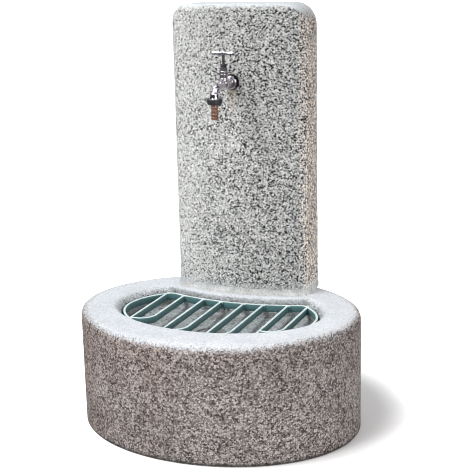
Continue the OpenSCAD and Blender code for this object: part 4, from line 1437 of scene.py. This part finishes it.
def weld_leg(x, dice):
    """A large and a small bead where a leg meets the band's back, and one at its front."""
    beads = []
    for side, big in ((1, 1.0), (-1, 0.62)):
        wide, deep = big * dice.uniform(2.6, 3.6) * MM, big * dice.uniform(2.2, 3.2) * MM
        tall = dice.uniform(3.2, 5.2) * MM
        place = (x + side * (BAR / 2 + 0.9 * MM), band_back(x) - 0.8 * MM, grate_z - tall * 0.92 - 0.2 * MM)
        beads.append(bead(place, (wide, deep, tall), dice.random() * 9))
    front = (x + BAR / 2 + 0.6 * MM, band_front(x) + 0.6 * MM, grate_z - 5 * MM)
    return beads + [bead(front, (2.2 * MM, 2.0 * MM, 3.8 * MM), dice.random() * 9)]


def build_welds():
    dice = random.Random(11)
    beads = []
    for left, right, turn_y in legs:
        beads += weld_leg(left, dice) + weld_leg(right, dice)
        corner = (left + BAR / 2 + 0.8 * MM, turn_y + BAR / 2 + 0.6 * MM, grate_z - 5 * MM)
        beads.append(bead(corner, (2.2 * MM, 2.0 * MM, 3.6 * MM), dice.random() * 9))
    welds = joined("weld_beads", beads)
    for vertex in welds.data.vertices:
        vertex.co.z = min(vertex.co.z, grate_z - 0.1 * MM)
    return finish_piece(welds, "grate_paint", "grate")


build_welds()

# %% [markdown]
# ## The tap's body
# A bib tap's body is one brass casting: a round chamber where the barrel, the upright neck and the spout
# meet, and a sleeve inside that leads the water down into the spout. The spout swells at its elbow,
# narrows again to a waist, and ends in a bell-shaped collar above the hose union. Each of these is built
# as a simple closed shape. Voxels then fuse them into one skin, and smoothing turns every join into a soft
# fillet, as on a casting that was polished before it was chromed. The chamber and the water ways are cut
# out last.

# %% Tube along the spout
def tube_points(path, radii, sides=48):
    """A round tube along a path in the tap's middle plane, each point given as (y, z)."""
    points, faces = [], []
    for k, (y, z) in enumerate(path):
        ahead, behind = path[min(k + 1, len(path) - 1)], path[max(k - 1, 0)]
        along = Vector((0.0, ahead[0] - behind[0], ahead[1] - behind[1])).normalized()
        up = Vector((0.0, -along.z, along.y))
        for j in range(sides):
            a = 2 * math.pi * j / sides
            points.append(Vector((radii[k] * math.cos(a), y, z)) + up * radii[k] * math.sin(a))
    after = [(j + 1) % sides for j in range(sides)]
    for k in range(len(path) - 1):
        here, there = k * sides, (k + 1) * sides
        faces += [(here + j, here + after[j], there + after[j], there + j) for j in range(sides)]
    ends = [tuple(range(sides - 1, -1, -1)), tuple(len(points) - sides + j for j in range(sides))]
    return points, faces + ends


SPOUT_BEND = 20 * MM


def spout_line(start_out, end_z):
    """The spout's centre line: level, round the bend, then straight down."""
    y, z = outlet_y + SPOUT_BEND, inlet_z - SPOUT_BEND
    line = [(spindle_y - start_out + (y - spindle_y + start_out) * k / 6, inlet_z) for k in range(6)]
    bend = np.linspace(0, math.pi / 2, 25)
    line += [(y - SPOUT_BEND * math.sin(a), z + SPOUT_BEND * math.cos(a)) for a in bend]
    return line + [(outlet_y, z + (end_z - z) * k / 2) for k in (1, 2)]


print("spout line points:", len(spout_line(0.0, nut_hi.z)))

# %% Solids of the tap's body
UP, OUT = (0, 0, 1), (0, -1, 0)
throat_start = Vector((0, spindle_y, inlet_z + 12 * MM))
throat_slope = Vector((0, -math.cos(math.radians(32)), -math.sin(math.radians(32))))


def axis_up(up):
    """A place on the spindle's axis, so many millimetres above the inlet."""
    return (0.0, spindle_y, inlet_z + up * MM)


def trunk_solids():
    """The level barrel, the round chamber, the upright neck and the sleeve from the neck to the spout."""
    barrel = [(0, 43.5, 0), (9, 43.5, 0.5), (9, -0.5, 0.3), (10.4, -1.0, 0.2), (10.4, -13, 0.8), (0, -13, 0)]
    ball = [(0.0005, -11.5, 0)]
    ball += [(11.5 * math.sin(a), -11.5 * math.cos(a), 0) for a in np.linspace(0.08, 2.3, 24)]
    ball += [(0, 7.8, 0)]
    neck = [(0, -2, 0), (10.1, -2, 0.6), (10.1, 11.2, 1.3), (8.75, 12.4, 0.5), (8.75, 22, 0.3), (0, 22, 0)]
    throat = rod_points(throat_start, throat_start + throat_slope * 23 * MM, 5.6 * MM, 48)
    return [turned("barrel", barrel, (0, column_lo.y, inlet_z), OUT), turned("ball", ball, axis_up(0), UP),
            turned("neck", neck, axis_up(0), UP), as_object("throat", *throat)]


def spout_solids():
    """The spout, which swells and narrows along its bend, and the bell above the hose union."""
    bends = [0, 0, 0, 0, 0, 0, *np.linspace(0, 90, 25), 90, 90]
    angle, radius = [0, 12, 30, 44, 58, 68, 90], [7.7, 8.3, 8.7, 8.1, 6.7, 6.4, 6.6]
    radii = [float(np.interp(bend, angle, radius)) * MM for bend in bends]
    spout = as_object("spout", *tube_points(spout_line(2 * MM, nut_hi.z - 2 * MM), radii))
    bell = [(0, 12.5, 0), (6.6, 12.5, 0.8), (8.5, 10.2, 1.8), (9.5, 2.4, 2.0), (10.1, 0.9, 0.6),
            (10.1, -0.6, 0), (13.1, -0.9, 0.3), (13.1, -7.4, 0.5), (0, -7.4, 0)]
    return [spout, turned("bell", bell, (0, outlet_y, nut_hi.z), UP)]


print("tap solids ready")

# %% Cast the tap's body
def build_tap_body():
    body = joined("tap_casting", trunk_solids() + spout_solids())
    fused(body, voxel=0.47 * MM, passes=9)
    inlet = ((0, column_lo.y + 16 * MM, inlet_z), (0, spindle_y - 4 * MM, inlet_z))
    return cut(body, [
        rod_points(axis_up(8), axis_up(23), 7.05 * MM, 64),
        rod_points(axis_up(-2), axis_up(9), 5 * MM, 48),
        rod_points(*inlet, 5.5 * MM, 48),
        rod_points(throat_start, throat_start + throat_slope * 22 * MM, 4 * MM, 40),
        tube_points(spout_line(17 * MM, nut_hi.z - 9 * MM), [4 * MM] * 33, 40),
    ])


tap_body = build_tap_body()
tidy_skin(tap_body, 45.0)
finish_piece(tap_body, "chrome", "root", "tap_body")

# %% [markdown]
# ## Turned parts of the tap
# The rosette, the union nut, the hose tail and the spindle were all turned on a lathe, so a lathe makes
# them here too. Each profile is a list of corners with their own small rounding, because a highlight that
# runs along a rounded edge is what makes small metal parts look real.

# %% Turn the rosette
def build_rosette():
    r = (rosette_hi.x - rosette_lo.x) / 2
    depth = rosette_hi.y - rosette_lo.y
    bore = 9.05 * MM
    narrowing, foot = r - bore - 1.6 * MM, 2.4 * MM
    bell = [(r - narrowing * (1 - math.cos(a)) ** 0.9, foot + (depth - foot) * math.sin(a))
            for a in np.linspace(0.16, 1.38, 16)]
    corners = [(bore, 0.0, 0.2 * MM), (r - 0.2 * MM, 0.0, 0.4 * MM), (r - 0.2 * MM, 1.9 * MM, 0.7 * MM),
               (bell[0][0], 2.5 * MM, 0.3 * MM)]
    corners += [(x, h, 0.0) for x, h in bell[1:]]
    corners += [(bore + 1.3 * MM, depth, 0.4 * MM), (bore, depth, 0.4 * MM)]
    return lathe("rosette", rounded_profile(corners, 0.9 * MM), (0, rosette_hi.y, inlet_z), OUT, 128, 40.0)


finish_piece(build_rosette(), "chrome", "root", "wall_rosette")

# %% Hexagon nuts
def hexagon(name, origin, corners, height, bore, sides=144):
    """An upright nut with the round chamfer that turning leaves on its corners."""
    flat = corners / 2 * math.cos(math.radians(30))
    angles = [2 * math.pi * k / sides for k in range(sides)]
    widest = corners / 2 - 0.15 * MM
    reach = [min(widest, flat / math.cos((a % (math.pi / 3)) - math.pi / 6)) for a in angles]
    crown = flat * 0.975
    ease = 0.3 * MM

    def level(radii, heights):
        return np.array([Vector((r * math.cos(a), r * math.sin(a), h)) + Vector(origin)
                         for r, h, a in zip(radii, heights, angles)])

    def circle(radius, height):
        return level([radius] * sides, [height] * sides)

    drop = [(r - crown) * 0.60 for r in reach]
    rings = [circle(bore + ease, 0.0), circle(crown, 0.0), level(reach, drop)]
    rings += [level(reach, [d + (height - 2 * d) * t for d in drop]) for t in (0.25, 0.5, 0.75, 1.0)]
    rings += [circle(crown, height), circle(bore + ease, height), circle(bore, height - ease),
              circle(bore, ease)]
    return loft(name, rings, smooth_angle=24.0)


print("nut helper ready")

# %% Build the bonnet and the gland nut
def build_bonnet():
    collar = [(6.6, 10.6, 0.2), (7.0, 10.6, 0.3), (7.0, 22.9, 0.0), (9.25, 23.05, 0.5), (9.25, 26.9, 0.8),
              (8.4, 27.4, 0.2), (5.2, 27.4, 0.0), (5.2, 40.0, 0.3), (4.5, 40.0, 0.2), (4.5, 37.2, 0.0),
              (4.1, 37.0, 0.0), (4.1, 12.0, 0.3)]
    return joined("bonnet", [turned("collar", collar, axis_up(0), UP, spacing=0.9 * MM),
                             hexagon("hex", axis_up(27), 17 * MM, 8 * MM, 5.1 * MM)])


def build_gland():
    crown = [(3.15, 40.4, 0.2), (6.2, 40.4, 0.3), (6.0, 41.4, 0.7), (4.6, 42.0, 0.5), (3.15, 42.0, 0.2)]
    return joined("gland_cap", [
        hexagon("gland", axis_up(35.05), 14 * MM, 5.6 * MM, 5.25 * MM),
        turned("crown", crown, axis_up(0), UP, smooth_angle=35.0, spacing=0.6 * MM)])


finish_piece(build_bonnet(), "chrome", "root", "tap_bonnet")
finish_piece(build_gland(), "dark_metal", "root", "gland_nut")

# %% Turn the spindle
def build_spindle():
    lo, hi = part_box("spindle")
    shank_top, thread_top, end = hi[2] - inlet_z, 31 * MM, lo[2] - inlet_z
    half_pitch, crest, groove = 0.75 * MM, 4.0 * MM, 0.45 * MM
    thread = [(crest - (groove if k % 2 else 0.0), end + 0.5 * MM + k * half_pitch, 0.0)
              for k in range(int((thread_top - end - 1 * MM) / half_pitch))]
    corners = [(2.3 * MM, end, 0.0), *thread, (3.0 * MM, thread_top, 0.2 * MM), (3.0 * MM, 43.2 * MM, 0.0),
               (2.75 * MM, 43.6 * MM, 0.1 * MM), (2.75 * MM, 44.6 * MM, 0.1 * MM), (3.0 * MM, 45.0 * MM, 0.0),
               (3.0 * MM, shank_top, 0.3 * MM), (1.5 * MM, shank_top, 0.0),
               (1.5 * MM, shank_top - 8 * MM, 0.0), (2.3 * MM, end + 14 * MM, 0.0)]
    return lathe("spindle_rod", rounded_profile(corners, 1.2 * MM, 3), axis_up(0), UP, 64, 40.0)


finish_piece(build_spindle(), "dark_metal", "handle", "spindle")

# %% Turn the handle and its screw
def build_handle():
    half = (handle_hi.x - handle_lo.x) / 2
    bar = [(0.0005 * MM, -half, 0.0), (3.1 * MM, -half, 1.4 * MM), (3.45 * MM, -half + 4 * MM, 1.0 * MM),
           (3.3 * MM, -8 * MM, 2 * MM), (4.1 * MM, -4.4 * MM, 1.6 * MM), (4.1 * MM, 4.4 * MM, 1.6 * MM),
           (3.3 * MM, 8 * MM, 2 * MM), (3.45 * MM, half - 4 * MM, 1.0 * MM), (3.1 * MM, half, 1.4 * MM),
           (0.0005 * MM, half, 0.0)]
    cross = lathe("bar", rounded_profile(bar, 1.1 * MM, 5), (0, spindle_y, bar_z), (1, 0, 0), 72, 50.0)
    hub = [(1.5, -4.5, 0.1), (4.0, -4.5, 0.8), (4.75, -2.6, 1.2), (4.75, 2.4, 1.4), (3.9, 4.5, 0.9),
           (1.5, 4.5, 0.1)]
    boss = turned("boss", hub, (0, spindle_y, bar_z), UP, sides=72, spacing=0.9 * MM, steps=5)
    return joined("t_handle", [cross, boss])


def build_screw_head():
    """A domed head with a slot, and a short shank below it."""
    top = [(0.0005, -12.5, 0.0), (1.45, -12.5, 0.2), (1.45, 0.0, 0.0), (3.0, 0.05, 0.2), (2.9, 0.6, 0.3),
           (1.9, 1.45, 0.6), (0.0005, 1.6, 0.0)]
    seat_z = bar_z + 4.5 * MM
    screw = turned("cap_screw", top, (0, spindle_y, seat_z), UP, sides=64, spacing=0.8 * MM)
    slot = box_points((-4 * MM, spindle_y - 0.4 * MM, seat_z + 0.7 * MM),
                      (4 * MM, spindle_y + 0.4 * MM, seat_z + 3 * MM))
    return cut(screw, [slot])


finish_piece(build_handle(), "chrome", "handle", "tap_handle")
screw = build_screw_head()
tidy_skin(screw, 40.0)
finish_piece(screw, "stainless", "handle", "handle_screw")

# %% Turn the hose union
def build_union_nut():
    r = (nut_hi.x - nut_lo.x) / 2
    h = nut_hi.z - nut_lo.z
    corners = [(9.1 * MM, 0.0, 0.2 * MM), (r - 1.9 * MM, 0.0, 0.8 * MM), (r - 1.1 * MM, 3.2 * MM, 0.4 * MM),
               (r - 0.25 * MM, 3.9 * MM, 0.4 * MM), (r, h - 1.0 * MM, 0.7 * MM), (r - 0.9 * MM, h, 0.5 * MM),
               (13.3 * MM, h, 0.2 * MM), (13.3 * MM, 2.05 * MM, 0.1 * MM), (9.1 * MM, 2.05 * MM, 0.1 * MM)]
    return lathe("hose_nut", rounded_profile(corners), (0, outlet_y, nut_lo.z), UP, 128, 40.0)


finish_piece(build_union_nut(), "dark_metal", "root", "union_nut")


def build_hose_tail():
    lo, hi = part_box("hose_tail")
    length = hi[2] - lo[2]
    pitch, stem, barb, bore = 7.3 * MM, 6.8 * MM, 7.95 * MM, 5.5 * MM
    corners = [(bore, 0.0, 0.3 * MM), (stem, 0.0, 0.4 * MM)]
    for k in range(4):
        low = k * pitch
        corners += [(stem + 0.1 * MM, low + 0.5 * MM, 0.2 * MM), (barb, low + 0.45 * pitch, 0.5 * MM),
                    (barb, low + 0.66 * pitch, 0.35 * MM), (stem, low + 0.74 * pitch, 0.3 * MM)]
    flange = 12.1 * MM
    corners += [(stem, length - 2 * MM, 0.4 * MM), (flange, length - 2 * MM, 0.3 * MM),
                (flange, length, 0.3 * MM), (bore, length, 0.3 * MM)]
    return lathe("barbed_tail", rounded_profile(corners, 0.9 * MM), (0, outlet_y, lo[2]), UP, 96, 38.0)


finish_piece(build_hose_tail(), "copper", "root", "hose_tail")

# %% [markdown]
# ## Pipework behind and below
# None of this shows from the front, but someone who looks behind the fountain sees a copper pipe in its
# clips, brass compression fittings and a grey waste pipe. The cast fittings are recast like the tap, the
# nuts get their turned chamfers, and the rest keeps the CAD shape with eased edges.

# %% Nuts and fittings
def build_compression_nuts():
    lo, hi = (Vector(c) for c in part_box("compression_nuts"))
    y, tall = (lo.y + hi.y) / 2, 12 * MM
    nuts = [hexagon("nut", (0, y, z), hi.x - lo.x, tall, 7.52 * MM) for z in (lo.z, hi.z - tall)]
    return finish_piece(joined("pipe_nuts", nuts), "brass", "root", "compression_nuts")


def build_locknut():
    lo, hi = (Vector(c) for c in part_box("drain_locknut"))
    nut = hexagon("waste_locknut", (0, drain_y, lo.z), hi.x - lo.x, hi.z - lo.z, 20.02 * MM)
    return finish_piece(nut, "brass", "root", "drain_locknut")


build_compression_nuts()
build_locknut()
for node, voxel, slot in (("wall_elbow", 0.75 * MM, "brass"), ("drain_elbow", 0.95 * MM, "grey_plastic")):
    finish_piece(recast(node, node + "_cast", voxel, passes=5), slot, "root", node)

# %% Inlet fitting with its thread
THREAD_PITCH, THREAD_DEPTH, THREAD_RADIUS, INLET_BORE = 1.814 * MM, 1.0 * MM, 10.45 * MM, 5.5 * MM
SIDES = 72


def thread_row(y, start, end, axis_z):
    """One turn of points at the same y. The screw runs out towards both ends."""
    fade = min(1.0, (end - y) / (1.2 * MM), (y - start) / (0.8 * MM) + 0.2)
    row = []
    for k in range(SIDES):
        a = 2 * math.pi * k / SIDES
        phase = ((y - start) / THREAD_PITCH + k / SIDES) % 1.0
        r = THREAD_RADIUS - THREAD_DEPTH * (1.0 - abs(2.0 * phase - 1.0)) * fade - (1 - fade) * 0.4 * MM
        row.append((r * math.cos(a), y, axis_z + r * math.sin(a)))
    return np.array(row)


def bore_row(y, axis_z):
    angles = [2 * math.pi * k / SIDES for k in range(SIDES)]
    return np.array([(INLET_BORE * math.cos(a), y, axis_z + INLET_BORE * math.sin(a)) for a in angles])


def build_inlet():
    """The cast part up to the thread, and the thread as a screw surface of its own."""
    body = recast("inlet_fitting", "inlet_cast", voxel=0.6 * MM, passes=3)
    lo, hi = (Vector(c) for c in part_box("inlet_fitting"))
    axis_z = (lo.z + (hi.x - lo.x) / 2)
    start, end = hi.y - 13.6 * MM, hi.y - 0.1 * MM
    cut(body, [box_points((-0.02, start, axis_z - 0.0115), (0.02, hi.y + 0.01, axis_z + 0.02))])
    rows = int((end - start) / (THREAD_PITCH / 10))
    rings = [thread_row(start + (end - start) * j / rows, start, end, axis_z) for j in range(rows + 1)]
    bore = [bore_row(y, axis_z) for y in (end, start)]
    thread = loft("thread", rings + bore, smooth_angle=50.0)
    return finish_piece(joined("inlet_cast", [body, thread]), "brass", "root", "inlet_fitting")


build_inlet()

# %% Ease the remaining CAD shapes
PLAIN = {
    "drain_strainer": (0.25, "stainless", "strainer"), "drain_body": (0.4, "stainless", "root"),
    "drain_gasket": (0.3, "black_rubber", "root"), "drain_washer": (0.3, "black_rubber", "root"),
    "drain_pipe": (0.6, "grey_plastic", "root"), "supply_pipe": (0.2, "copper", "root"),
    "pipe_clips": (0.5, "dark_plastic", "root"), "tap_extension": (0.4, "brass", "root"),
    "bonnet_gasket": (0.15, "fibre", "root"), "gland_packing": (0.2, "fibre", "root"),
    "jumper": (0.25, "brass", "valve"), "seat_washer": (0.4, "black_rubber", "valve"),
    "union_washer": (0.3, "black_rubber", "root"), "column_dowels": (0.6, "plain_steel", "root"),
}
for node, (width, slot, body) in PLAIN.items():
    finish_piece(eased(node, node + "_eased", width * MM), slot, body, node)

# %% Find the screws
def islands(mesh):
    """The point clouds of a mesh's separate parts."""
    bm = bmesh.new()
    bm.from_mesh(mesh)
    bmesh.ops.remove_doubles(bm, verts=bm.verts, dist=2e-6)
    found, seen = [], set()
    for vertex in bm.verts:
        if vertex in seen:
            continue
        island, wave = [], [vertex]
        seen.add(vertex)
        while wave:
            v = wave.pop()
            island.append(v.co.copy())
            fresh = {edge.other_vert(v) for edge in v.link_edges} - seen
            seen |= fresh
            wave += fresh
        found.append(island)
    bm.free()
    return found


screw_islands = islands(cad_nodes["fixing_screws"].data)
print("screws found:", len(screw_islands))

# %% Fixing screws
def build_screw(x, z, tip_y, head_y):
    """A round head with a cross slot."""
    length = head_y - tip_y
    corners = [(0.0005 * MM, 0.0, 0.0), (2.4 * MM, 4 * MM, 0.5 * MM), (2.45 * MM, length - 3 * MM, 0.1 * MM),
               (4.5 * MM, length - 2.95 * MM, 0.2 * MM), (4.3 * MM, length - 1.4 * MM, 0.7 * MM),
               (2.2 * MM, length - 0.1 * MM, 0.8 * MM), (0.0005 * MM, length, 0.0)]
    screw = lathe("screw", rounded_profile(corners, 1.6 * MM), (x, tip_y, z), (0, 1, 0), 48, 40.0)
    floor_y, past_y = head_y - 1.3 * MM, head_y + 1 * MM
    return cut(screw, [box_points((x - w, floor_y, z - h), (x + w, past_y, z + h))
                       for w, h in ((2.3 * MM, 0.45 * MM), (0.45 * MM, 2.3 * MM))])


def build_fixing_screws():
    """Real screw heads, where the CAD has plain cylinders."""
    screws = []
    for island in screw_islands:
        lo = Vector((min(p[i] for p in island) for i in range(3)))
        hi = Vector((max(p[i] for p in island) for i in range(3)))
        screws.append(build_screw((lo.x + hi.x) / 2, (lo.z + hi.z) / 2, lo.y, hi.y))
    heads = joined("cross_screws", screws)
    tidy_skin(heads, 40.0)
    return finish_piece(heads, "stainless", "root", "fixing_screws")


build_fixing_screws()

# %% [markdown]
# ## The CAD pieces themselves
# Every CAD piece takes the finish that its slot names, so that none is left plain, whether or not a mesh
# made above stands in for it.

# %% Give the CAD nodes their finish
for name, obj in cad_nodes.items():
    slots = [s.material.name.split(".")[0] if s.material else "" for s in obj.material_slots]
    for index, slot in enumerate(slots):
        if slot in materials:
            obj.material_slots[index].material = materials[slot]
        else:
            print("no finish for", name, slot)
